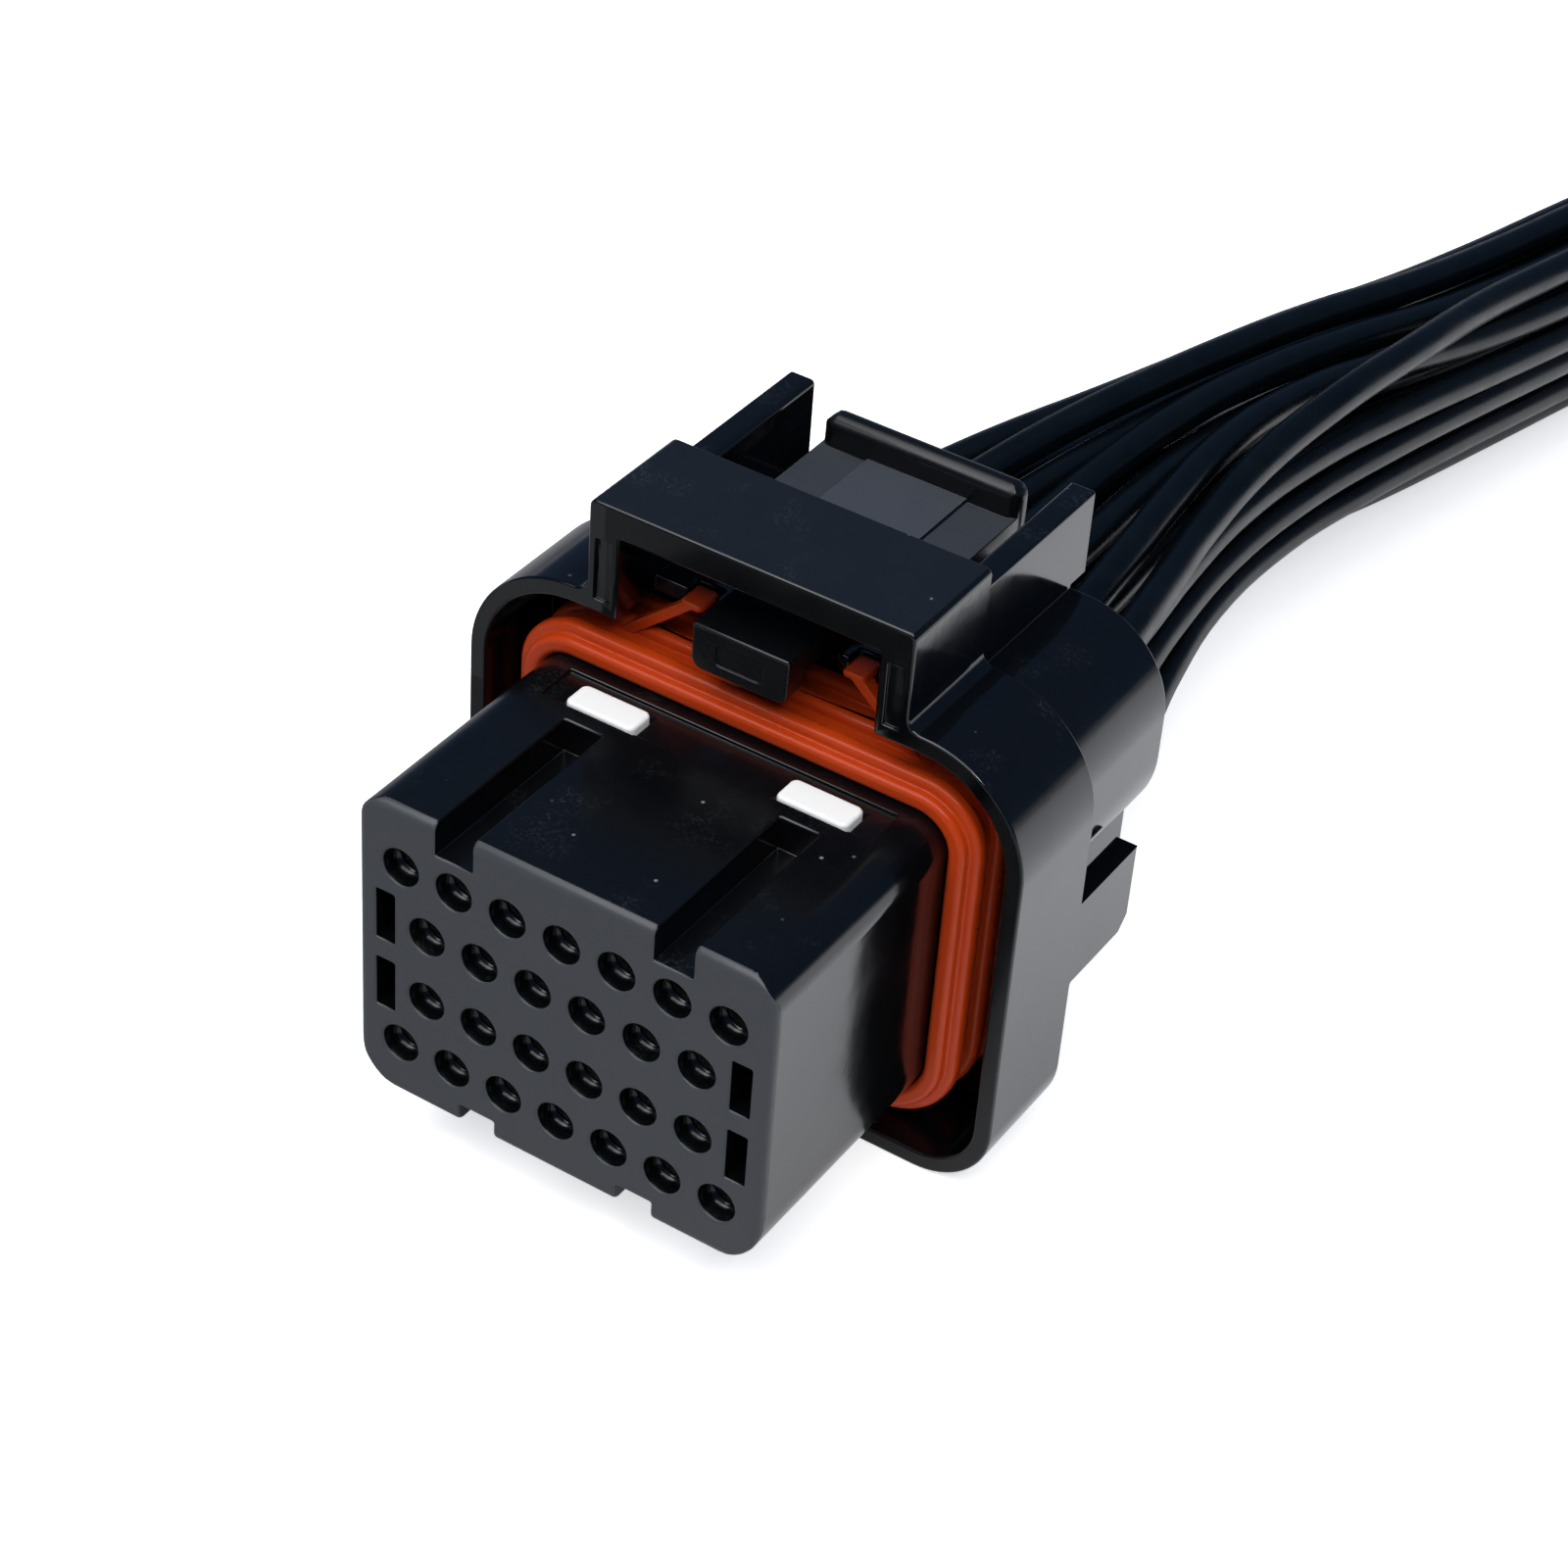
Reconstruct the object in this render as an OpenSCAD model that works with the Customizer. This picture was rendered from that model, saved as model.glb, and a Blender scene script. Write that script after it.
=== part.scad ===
// Sealed rectangular plug of an engine control unit, with its wire leads.
// Lengths are in millimetres. Inside the modules x runs to the right, y runs back
// from the mating face and z runs up from the middle of the contact field.
// place() then stands the plug on its shroud, centred over the origin.

/* [Contacts] */
// Distance between contacts along a row
pitch = 3; // [2.9:0.1:4]
// Height from an outer row to the row inside it
row_step = 3.4; // [3.4:0.1:4.4]
// Height between the two inner rows
mid_step = 3.9; // [3.5:0.1:5]
// Diameter of the hole that a header pin enters
pin_hole_d = 1.65; // [1.2:0.05:1.8]
// Diameter of the lead-in around that hole
lead_in_d = 2.15; // [1.9:0.05:2.4]
// Depth of the lead-in
lead_in_depth = 0.5; // [0.2:0.05:1]

/* [Terminals] */
// Width of a terminal's box
box_w = 1.9; // [1.6:0.05:2]
// Height of a terminal's box
box_h = 2.1; // [1.9:0.05:2.2]
// Width of the neck behind the box
neck_w = 1.3; // [0.8:0.05:1.5]
// Height of the neck behind the box
neck_h = 1; // [0.6:0.05:1]
// Sheet thickness of a terminal's box
sheet_t = 0.15; // [0.1:0.05:0.2]
// Diameter of the round mouth that a header pin enters
pin_mouth_d = 1.5; // [1.2:0.05:1.55]
// Width of the spring tongue in the box
tongue_w = 1; // [0.6:0.05:1.1]
// Length of the spring tongue in the box
tongue_len = 4; // [2:0.1:6]
// Height that the spring tongue leaves for a header pin
tongue_gap = 1; // [0.8:0.05:1.1]
// Distance of the spring tongue behind the box's front
tongue_back = 1; // [0.6:0.1:2]
// Length of the spring tongue's bent tip
tongue_tip = 0.3; // [0.2:0.05:0.5]
// Diameter of the crimp on the bare conductor
crimp_d = 1.5; // [1.2:0.05:1.7]
// Length of the crimp on the bare conductor
crimp_len = 3; // [2:0.1:4]
// Width of the strip under the crimps
strip_w = 1; // [0.6:0.05:1.2]
// Lap of that strip under the conductor crimp
strip_lap = 0.6; // [0.4:0.1:1]
// Length of the barrel that grips the insulation
barrel_len = 2; // [1:0.1:2.4]
// Sheet thickness of the barrel
barrel_t = 0.2; // [0.1:0.05:0.25]

/* [Wires] */
// Diameter of a wire over its insulation
wire_d = 1.9; // [1.4:0.05:1.95]

/* [Nose] */
// Length of the nose in front of the shroud
nose_len = 14; // [13.5:0.1:18]
// Wall from the last contact column to the side of the nose
nose_side = 2.45; // [2.45:0.05:4]
// Wall from the upper contact row to the top of the nose
nose_above = 3.5; // [3.5:0.05:5]
// Wall from the lower contact row to the bottom of the nose
nose_below = 3.1; // [2.8:0.05:4]
// Radius of the nose's upper corners
nose_r_top = 1.8; // [0.8:0.1:2.4]
// Radius of the nose's lower corners
nose_r_bottom = 2.8; // [0.8:0.1:3]
// Rounding of the nose's front edge
nose_edge_r = 0.5; // [0.2:0.05:0.8]
// Thickness of the front wall that the pins enter
face_wall = 1.2; // [1:0.1:2.4]
// Distance of the upper key grooves from the middle
top_key_x = 6; // [4.5:0.1:7]
// Width of the upper key grooves
top_key_w = 2.1; // [1.2:0.1:2.6]
// Depth of the upper key grooves
top_key_depth = 1.8; // [0.8:0.1:2]
// Distance of the lower key grooves from the middle
low_key_x = 4.5; // [3:0.1:6]
// Width of the lower key grooves
low_key_w = 2; // [1.2:0.1:2.6]
// Depth of the lower key grooves
low_key_depth = 1.1; // [0.6:0.1:1.4]
// Length of the key grooves from the front
key_len = 10; // [5:0.1:10.5]
// Width of the slots beside the inner rows
side_slot_w = 1.05; // [0.6:0.05:1.2]
// Height of each slot beside the inner rows
side_slot_h = 2.9; // [2:0.1:3]
// Rib between the two slots of one side
side_slot_rib = 1.2; // [0.8:0.1:2]
// Depth of the slots beside the inner rows
side_slot_depth = 7; // [2:0.5:9]
// Wall outside the slots beside the inner rows
side_slot_wall = 1.05; // [0.8:0.05:1.4]

/* [Lock plate] */
// Distance of the lock plate behind the mating face
lock_y = 11; // [10.8:0.1:11.2]
// Thickness of the lock plate
lock_t = 1.75; // [1.2:0.05:1.9]
// Travel from locked to the pre-lock place
lock_travel = 1; // [0.8:0.05:1.1]
// Distance of the two visible tabs from the middle
tab_x = 5.9; // [5:0.1:6.5]
// Width of each visible tab
tab_w = 3.9; // [2:0.1:4.4]
// Height of the locked tabs above the nose
tab_proud = 0.15; // [0:0.05:0.4]
// Rounding of the tabs' corners
tab_r = 0.4; // [0.1:0.05:0.6]
// Web of the plate outside the last window
lock_side = 0.45; // [0.3:0.05:0.6]
// Web of the plate above the last window
lock_above = 0.45; // [0.3:0.05:0.5]
// Depth of the ledge around the tabs
ledge_depth = 0.2; // [0.05:0.05:0.3]
// Distance of the ledge's ends from the nose's round corners
ledge_inset = 0.5; // [0:0.1:1]
// Length of the ledge behind its front edge
ledge_len = 2.4; // [2:0.1:2.5]

/* [Shroud] */
// Gap between the nose and the shroud's side
gap_side = 3.15; // [2.8:0.05:4]
// Gap between the nose and the shroud's top
gap_top = 3.3; // [3:0.05:4]
// Gap between the nose and the shroud's bottom
gap_bottom = 2.75; // [2.6:0.05:4]
// Wall thickness of the shroud
shroud_wall = 0.95; // [0.8:0.05:1.4]
// Length of the shroud
shroud_len = 6.7; // [6.5:0.1:9]
// Outer radius of the shroud's upper corners
shroud_r_top = 6; // [3:0.1:6.2]
// Outer radius of the shroud's lower corners
shroud_r_bottom = 4; // [2.5:0.1:6]
// Thickness of the wall that closes the shroud behind the seal
web_t = 1.2; // [0.8:0.1:1.6]

/* [Latch bridge] */
// Width of the bridge over the latch
bridge_w = 17.7; // [16.5:0.1:18.5]
// Height of the bridge above the shroud
bridge_h = 5.25; // [4.8:0.05:7]
// Thickness of the bridge's pillars
pillar_t = 1.75; // [1.2:0.05:2]
// Thickness of the bridge's upper bar
bridge_bar_t = 1.65; // [1:0.05:1.9]
// Rounding of the bridge's upper corners
bridge_r = 0.4; // [0.1:0.05:0.8]
// Fillet where the pillars meet the shroud
foot_r = 0.7; // [0.3:0.05:0.8]
// Depth of the sunk panel on each pillar
panel_depth = 0.2; // [0.1:0.05:0.4]
// Width of the sunk panel on each pillar
panel_w = 0.85; // [0.5:0.05:1]
// Height of the sunk panel on each pillar
panel_h = 3.4; // [2:0.1:3.8]
// Gap between the seal's straps and the floor under the bridge
floor_gap = 0.1; // [0.05:0.05:0.5]
// Width of the slot in that floor for the lever's arm
floor_slot_w = 6.2; // [5.9:0.1:7]

/* [Guards] */
// Thickness of the guards beside the lever
guard_t = 1.45; // [1.2:0.05:1.7]
// Inset of the guards from the bridge's sides
guard_inset = 0.2; // [0:0.05:0.4]
// Step down from the bridge to the guards
guard_drop = 1.15; // [0.6:0.05:1.6]
// Length of the guards behind the bridge
guard_len = 10.2; // [9.8:0.1:12]

/* [Latch lever] */
// Width of the catch and its arm
catch_w = 5.3; // [4:0.1:7]
// Height of the catch
catch_h = 2.5; // [2:0.05:2.6]
// Length of the catch
catch_len = 1.45; // [1:0.05:2]
// Depth of the catch below the shroud's inner top
catch_sunk = 0.35; // [0:0.05:0.5]
// Rounding of the catch's lower corners
catch_r = 0.6; // [0.2:0.05:0.8]
// Length of the slope behind the catch
catch_slope = 0.6; // [0.3:0.1:1]
// Corner radius of the panel in the catch's front
catch_panel_r = 0.3; // [0.1:0.05:0.5]
// Depth of the panel in the catch's front
catch_panel = 0.12; // [0.05:0.01:0.3]
// Distance that the catch stands out in front of the shroud
catch_out = 0.35; // [0:0.05:0.6]
// Thickness of the lever's arm
arm_t = 1.2; // [0.8:0.05:1.4]
// Width of the thumb pad
pad_w = 11; // [8:0.1:12]
// Thickness of the thumb pad
pad_t = 1.1; // [0.8:0.05:1.2]
// Height of the thumb pad above the arm
pad_rise = 0.9; // [0.7:0.05:1.2]
// Length of the slope from the arm up to the pad
pad_slope = 2; // [1:0.1:3]
// Width of the press bar at the end of the pad
press_w = 11.2; // [8:0.1:12.4]
// Thickness of the press bar
press_t = 1.5; // [1.2:0.05:2]
// Radius of the press bar's upper ends
press_end_r = 0.9; // [0.4:0.05:1.2]
// Radius of the press bar's lower ends
press_low_r = 0.3; // [0.15:0.05:0.5]
// Height of the press bar above the pad
press_h = 1.65; // [0.8:0.05:1.8]
// Gap between the ends of the press bar and of the guards
press_back = 0.5; // [0.3:0.05:1]
// Width of the raised tile on the pad
tile_w = 5.7; // [3:0.1:8]
// Height of the raised tile on the pad
tile_h = 0.18; // [0.1:0.02:0.3]
// Distance of the raised tile behind the pad's front
tile_back = 2; // [1:0.1:4]
// Radius of the torsion stubs that the lever turns on
stub_r = 1; // [0.7:0.05:1]
// Wall of the lever's hub around the stubs
hub_wall = 0.1; // [0.05:0.05:0.15]
// Depth of the stubs below the middle of the pad
stub_drop = 0.7; // [0.4:0.05:0.8]
// Distance of the stubs behind the bridge
stub_back = 1.7; // [1.5:0.1:2.5]
// Depth of the stubs' seats in the guards
stub_seat = 0.9; // [0.5:0.05:1]

/* [Interface seal] */
// Thickness of the seal's sleeve
seal_t = 1; // [0.6:0.05:1.2]
// Height of the seal's lips above the sleeve
lip_h = 0.55; // [0.3:0.05:0.8]
// Length of each lip
lip_w = 0.9; // [0.6:0.05:1.1]
// Length of the sleeve in front of the first lip
lip_lead = 0.55; // [0.3:0.05:0.8]
// Distance from lip to lip
lip_pitch = 1.9; // [1.6:0.05:2.2]
// Length of the seal behind its last lip
seal_tail = 0.2; // [0.1:0.05:0.6]
// Distance of the seal's two holding tabs from the middle
seal_tab_x = 4.5; // [4.2:0.1:5.5]
// Width of each holding tab
seal_tab_w = 1.3; // [0.8:0.05:1.6]
// Length of each holding tab
seal_tab_len = 1.75; // [1:0.05:2.2]
// Distance of the holding tabs behind the shroud's front
seal_tab_back = 2.3; // [2.1:0.05:2.6]
// Depth of the holding tabs' tops below the shroud's top
seal_tab_sunk = 0.1; // [0:0.05:0.4]
// Thickness of the holding tabs
seal_tab_t = 0.45; // [0.3:0.05:0.8]
// Width of the strap from each holding tab to the seal
strap_w = 0.85; // [0.6:0.05:1.2]
// Length of the straps along the plug
strap_len = 0.8; // [0.5:0.05:1]
// Spread of the straps from the holding tabs outwards
strap_out = 4; // [2:0.1:4.4]

/* [Rear] */
// Inset of the hood from the shroud's sides
hood_inset = 1; // [0.4:0.05:1.2]
// Step down from the shroud to the hood
hood_drop = 0.6; // [0.4:0.05:0.7]
// Length of the hood
hood_len = 8.7; // [8.2:0.1:9]
// Wall thickness of the hood
hood_wall = 1.15; // [0.8:0.05:1.2]
// Height of the hood's front lower edge above the contact field's middle
hood_edge = 2.3; // [2.1:0.1:5]
// Step up from the front to the rear lower edge of the hood
hood_step = 0.4; // [0.2:0.1:1.5]
// Length of the hood's front lower edge
hood_front_len = 4.8; // [2:0.1:6]
// Wall from the last contact column to the pocket's side
pocket_side = 1.9; // [1.8:0.05:2.2]
// Wall from the last contact row to the pocket's end
pocket_end = 2.25; // [1.8:0.05:2.6]
// Corner radius of the pocket for the wire seal
pocket_r = 2; // [0.8:0.1:2.4]
// Wall of the sleeve around the pocket
sleeve_wall = 1.2; // [0.8:0.05:1.25]
// Thickness of the floor in front of the pocket, behind the shroud's wall
pocket_floor = 0.5; // [0.3:0.1:1]
// Thickness of the wire seal
wire_seal_t = 4; // [3:0.1:4.2]
// Length of the rear cover's plug inside the pocket
plug_len = 2.3; // [1.5:0.1:3]
// Thickness of the rear cover's plate
cover_t = 1.5; // [1:0.1:1.8]
// Play of a wire in the rear cover's holes
cover_hole_play = 0.6; // [0.3:0.05:0.8]
// Thickness of the rear cover's side arms
arm_side_t = 1.1; // [0.8:0.05:1.2]
// Height of the rear cover's side arms
arm_side_h = 4.6; // [3.6:0.1:5.2]
// Gap between the shroud and the rear cover's side arms
arm_side_gap = 0.8; // [0.4:0.1:1.2]
// Distance of the ramps behind the side arms' ends
ramp_back = 1.4; // [1.2:0.1:1.6]
// Height of the ramp that holds each side arm
ramp_h = 2.6; // [1.6:0.1:3]
// Length of the ramp that holds each side arm
ramp_len = 1.7; // [1:0.1:2]
// Height of a ramp above the sleeve
ramp_rise = 0.9; // [0.5:0.05:1]

/* [Side lugs] */
// Length of the lugs behind the shroud
lug_len = 5.5; // [4:0.1:6]
// Thickness of the lugs
lug_t = 1.2; // [0.9:0.05:1.2]
// Upper edge of the lugs above the contact field's middle
lug_top = 2; // [1:0.1:3]
// Lower edge of the lugs below the contact field's middle
lug_below = 3; // [2:0.1:4]
// Cut corner of the lugs
lug_corner = 0.9; // [0.3:0.1:1.5]

/* [Clearances] */
// Play of a terminal in its cavity, each side
cavity_play = 0.1; // [0.05:0.01:0.12]
// Play of the lock plate in its slot, each side
lock_play = 0.08; // [0.05:0.01:0.12]
// Play of the contact block in the housing's wall
block_play = 0.05; // [0.02:0.01:0.1]
// Play of a seal against hard walls
seal_play = 0.05; // [0.02:0.01:0.08]
// Play of the seal's holding tabs in their holes
seal_tab_play = 0.08; // [0.02:0.01:0.1]
// Radial play of the lever's stubs in their seats
stub_play = 0.05; // [0.02:0.01:0.1]
// Play of the rear cover in and around the sleeve
cover_play = 0.08; // [0.05:0.01:0.15]

/* [Hidden] */
$fn = 48;
JOIN = 0.2; // overlap of shapes that are moulded as one
CUT = 1; // run of a cut past the face that it opens
SINK = 0.02; // depth that keeps a flat face clear of a round one beside it
SIDES = 8; // sides of a wire's tube

// Contact field, rows from the top
ROW_COUNTS = [7, 6, 6, 7];
row_z = [mid_step / 2 + row_step, mid_step / 2, -mid_step / 2, -mid_step / 2 - row_step];
contacts = [for (r = [0:3]) for (k = [0:ROW_COUNTS[r] - 1])
    [(k - (ROW_COUNTS[r] - 1) / 2) * pitch, row_z[r], r, k]];
COUNT = len(contacts);
field_half = (ROW_COUNTS[0] - 1) / 2 * pitch;
field_top = row_z[0];

// Nose and shroud outlines
nose_half = field_half + nose_side;
nose_top = field_top + nose_above;
nose_bottom = -field_top - nose_below;
in_half = nose_half + gap_side;
in_top = nose_top + gap_top;
in_bottom = nose_bottom - gap_bottom;
out_half = in_half + shroud_wall;
out_top = in_top + shroud_wall;
out_bottom = in_bottom - shroud_wall;
shroud_y = nose_len;
shroud_end = shroud_y + shroud_len;
web_y = shroud_end - web_t;
seal_end = web_y - seal_play;
seal_y = seal_end - seal_tail - 2 * lip_pitch - lip_w - lip_lead;

// Bridge, guards and hood
bridge_half = bridge_w / 2;
window_half = bridge_half - pillar_t;
bridge_top = out_top + bridge_h;
window_top = bridge_top - bridge_bar_t;
strap_y = shroud_y + seal_tab_back;
floor_y = strap_y + strap_len + floor_gap;
guard_out = bridge_half - guard_inset;
guard_in = guard_out - guard_t;
guard_top = bridge_top - guard_drop;
guard_end = shroud_end + guard_len;
hood_half = out_half - hood_inset;
hood_top = out_top - hood_drop;
hood_r = shroud_r_top - hood_inset;
hood_end = shroud_end + hood_len;

// Lever
catch_y = shroud_y - catch_out;
catch_z = in_top - catch_sunk;
arm_top = catch_z + catch_h;
pad_top = arm_top + pad_rise;
press_end = guard_end - press_back;
press_y = press_end - press_t;
pad_y = shroud_end + stub_back - stub_r;
hub_r = stub_r + hub_wall;
stub_end = guard_in + stub_seat - 2 * stub_play;
pivot_y = shroud_end + stub_back;
pivot_z = pad_top - pad_t / 2 - stub_drop;

// Lock plate
window_w = box_w + 2 * cavity_play;
window_h = box_h + 2 * cavity_play;
lock_half = field_half + window_w / 2 + lock_side;
lock_top = field_top + window_h / 2 + lock_travel + lock_above;

// Terminals and wires
box_y = face_wall + cavity_play;
box_end = lock_y - lock_play - cavity_play;
crimp_y = lock_y + lock_t + lock_play + cavity_play;
wire_y = crimp_y + crimp_len;
barrel_y = wire_y + 1;
barrel_in = wire_d / 2 + cavity_play;
barrel_out = barrel_in + barrel_t;

// Rear pocket, seal and cover
pocket_y = shroud_end + pocket_floor;
pocket_half = field_half + pocket_side;
pocket_z = field_top + pocket_end;
sleeve_half = pocket_half + sleeve_wall;
sleeve_z = pocket_z + sleeve_wall;
sleeve_r = pocket_r + sleeve_wall;
plug_y = pocket_y + wire_seal_t + 2 * seal_play;
sleeve_end = plug_y + plug_len;
cover_end = sleeve_end + cover_play + cover_t;
arm_side_x = sleeve_half + cover_play;
arm_side_y = shroud_end + arm_side_gap;
ramp_y = arm_side_y + ramp_back;

// Route of the bundle's middle: right of, behind and above the middle of the cover's rear face
WIRE_ROUTE = [
    [0, 1.5, 0], [0, 4.5, 0], [0, 7.5, 0], [0, 10.5, 0.1], [0.1, 14.5, 0.2], [0.2, 19, 0.3],
    [0.5, 26, 0.2], [1.2, 34, -0.4], [2.6, 42, -1.2], [4.4, 50, -2.2], [6, 58, -3], [7.8, 67, -3.6],
    [9.6, 76, -4.1], [11.2, 86, -4.35], [12.4, 96, -4.5], [13.2, 106, -4.5], [13.6, 116, -4.5],
    [13.6, 126, -4.5], [13.2, 136, -4.5], [12.4, 147, -4.5]];
GATHER_FROM = 1.5; // distance behind the cover where the wires start to close up
GATHER_TO = 34; // distance behind the cover where they lie in a round bundle
TURN_TO = 60; // distance behind the cover where the bundle has its full turn
BUNDLE_TURN = -20; // turn of the bundle, in degrees
OUTER_ROW = [0.42, 5.3, 0.85]; // outer rows in the bundle: squeeze, height, zigzag
INNER_ROW = [0.56, 1.75, 0.7]; // inner rows in the bundle: squeeze, height, zigzag
CLIMB_FROM = 14; // distance behind the cover where the right-hand wires start to climb
CLIMB_TO = 56; // distance behind the cover where each lies one place further up
CLIMB_TOP = [1.26, 8]; // place of the uppermost climbing wire, on top of the bundle
CLIMB_OUT = [2.7, 0.8]; // bow of the climbing wires around their neighbours: uppermost, others

function terminal_name(i) = str("terminal_", i < 9 ? "0" : "", i + 1);
function wire_name(i) = str("wire_", i < 9 ? "0" : "", i + 1);

black = [0.07, 0.07, 0.08];
orange = [0.78, 0.24, 0.1];
white = [0.93, 0.93, 0.93];
tin = [0.72, 0.72, 0.7];

// Stands the plug on its shroud, centred over the origin
module place() {
    translate([0, -guard_end / 2, -out_bottom]) children();
}

// Extrusions along each axis, of outlines drawn as (y, z), (x, z) and (x, y)
module along_x(from, to) {
    translate([from, 0, 0]) rotate([90, 0, 90]) linear_extrude(to - from) children();
}
module along_y(from, to) {
    translate([0, to, 0]) rotate([90, 0, 0]) linear_extrude(to - from) children();
}
module along_z(from, to) {
    translate([0, 0, from]) linear_extrude(to - from) children();
}

// Both sides of a mirrored shape
module both_sides() {
    children();
    mirror([1, 0, 0]) children();
}

// A rectangle between two corners
module rect(low, high) {
    translate(low) square(high - low);
}

// A rectangle with round corners, one radius below and one above
module outline(half, bottom, top, r_bottom, r_top) {
    rect([-half + r_bottom, bottom], [half - r_bottom, top - r_top]);
    rect([-half + r_top, bottom + r_bottom], [half - r_top, top]);
    rect([-half, bottom + r_bottom], [half, top - r_top]);
    for (side = [-1, 1]) {
        translate([side * (half - r_bottom), bottom + r_bottom]) circle(r_bottom);
        translate([side * (half - r_top), top - r_top]) circle(r_top);
    }
}

// A rectangle that starts at 0 with round front corners, for the nose's front edge
module front_rounded(length, low, high, r) {
    rect([r, low], [length, high]);
    rect([0, low + r], [length, high - r]);
    for (at = [low + r, high - r]) translate([r, at]) circle(r);
}

// The nose's section, grown by a distance
module nose_section(grow = 0) {
    outline(nose_half + grow, nose_bottom - grow, nose_top + grow, nose_r_bottom + grow, nose_r_top + grow);
}

// Copies of an outline at every contact
module at_contacts() {
    for (c = contacts) translate([c[0], c[1]]) children();
}

// A block of the nose with its front edge rounded on all four sides
module nose_block() {
    intersection() {
        along_y(0, shroud_end) nose_section();
        along_x(-nose_half, nose_half) front_rounded(shroud_end, nose_bottom, nose_top, nose_edge_r);
        along_z(nose_bottom, nose_top) rotate(90) mirror([0, 1])
            front_rounded(shroud_end, -nose_half, nose_half, nose_edge_r);
    }
}

// Grooves and slots that key the nose and save material in its face
module nose_grooves() {
    both_sides() {
        along_y(-CUT, key_len) {
            translate([top_key_x, nose_top - top_key_depth])
                rect([-top_key_w / 2, 0], [top_key_w / 2, top_key_depth + CUT]);
            translate([low_key_x, nose_bottom + low_key_depth])
                rect([-low_key_w / 2, -low_key_depth - CUT], [low_key_w / 2, 0]);
        }
        slot_in = nose_half - side_slot_wall - side_slot_w;
        along_y(-CUT, side_slot_depth) for (low = [side_slot_rib / 2, -side_slot_rib / 2 - side_slot_h])
            translate([slot_in, low]) square([side_slot_w, side_slot_h]);
    }
    ledge_half = nose_half - nose_r_top - ledge_inset;
    translate([-ledge_half, lock_y, nose_top - ledge_depth])
        cube([2 * ledge_half, ledge_len, ledge_depth + CUT]);
}

// Cavities of the terminals, from the pin holes to the wire seal's pocket
module cavities() {
    along_y(-CUT, face_wall + JOIN) at_contacts() circle(d = pin_hole_d);
    mouth_d = lead_in_d + JOIN * (lead_in_d - pin_hole_d) / lead_in_depth;
    for (c = contacts) translate([c[0], -JOIN, c[1]]) rotate([-90, 0, 0])
        cylinder(h = lead_in_depth + JOIN, d1 = mouth_d, d2 = pin_hole_d);
    along_y(face_wall, pocket_y + JOIN) at_contacts() square([window_w, window_h], center = true);
    along_y(crimp_y - cavity_play, pocket_y + JOIN) at_contacts() circle(barrel_out + cavity_play);
}

// Section of the lock plate: a sheet with windows, and two tabs that reach the top
module lock_section() {
    intersection() {
        nose_section();
        rect([-lock_half, nose_bottom - CUT], [lock_half, lock_top]);
    }
    for (side = [-1, 1]) translate([side * tab_x, 0])
        rect([-tab_w / 2, 0], [tab_w / 2, nose_top + tab_proud]);
}

// Slot that the lock plate slides in, open below and at its two tabs
module lock_slot() {
    along_y(lock_y - lock_play, lock_y + lock_t + lock_play) {
        rect([-lock_half - lock_play, nose_bottom - CUT], [lock_half + lock_play, lock_top + lock_play]);
        for (side = [-1, 1]) translate([side * tab_x, 0])
            rect([-tab_w / 2 - lock_play, 0], [tab_w / 2 + lock_play, nose_top + CUT]);
    }
}

// Outer line of the shroud and the bridge, which are one profile
module shroud_outside() {
    outline(out_half, out_bottom, out_top, shroud_r_bottom, shroud_r_top);
    outline(bridge_half, 0, bridge_top, bridge_r, bridge_r);
    for (side = [-1, 1]) difference() {
        rect([side > 0 ? bridge_half - JOIN : -bridge_half - foot_r, out_top - JOIN],
             [side > 0 ? bridge_half + foot_r : -bridge_half + JOIN, out_top + foot_r]);
        translate([side * (bridge_half + foot_r), out_top + foot_r]) circle(foot_r);
    }
}

// Inner line of the shroud and the bridge's window
module shroud_inside() {
    outline(in_half, in_bottom, in_top, shroud_r_bottom - shroud_wall, shroud_r_top - shroud_wall);
    rect([-window_half, 0], [window_half, window_top]);
}

// The seal's two holding tabs, grown by a distance
module seal_tabs(low, high, grow = 0) {
    both_sides() along_z(low, high) rect(
        [seal_tab_x - seal_tab_w / 2 - grow, strap_y - grow],
        [seal_tab_x + seal_tab_w / 2 + grow, strap_y + seal_tab_len + grow]);
}

// Shroud and latch bridge with the sunk panels of the pillars
module shroud_and_bridge() {
    difference() {
        union() {
            along_y(shroud_y, shroud_end) difference() {
                shroud_outside();
                shroud_inside();
            }
            along_y(floor_y, shroud_end) for (side = [-1, 1])
                rect([side > 0 ? floor_slot_w / 2 : -window_half - JOIN, in_top],
                     [side > 0 ? window_half + JOIN : -floor_slot_w / 2, out_top]);
        }
        seal_tabs(in_top - CUT, out_top + CUT, seal_tab_play);
        both_sides() translate([bridge_half - pillar_t / 2 - panel_w / 2, shroud_y - CUT, out_top - JOIN])
            cube([panel_w, CUT + panel_depth, panel_h]);
    }
    along_y(web_y, shroud_end) difference() {
        outline(out_half, out_bottom, out_top, shroud_r_bottom, shroud_r_top);
        rect([-window_half, hood_top], [window_half, out_top + CUT]);
    }
}

// Section of the hood: the upper half of a shell, down to its lower edge
module hood_section(edge) {
    difference() {
        outline(hood_half, 0, hood_top, hood_r, hood_r);
        outline(hood_half - hood_wall, -CUT, hood_top - hood_wall, hood_r - hood_wall, hood_r - hood_wall);
        rect([-out_half, -CUT], [out_half, edge]);
    }
}

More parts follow.
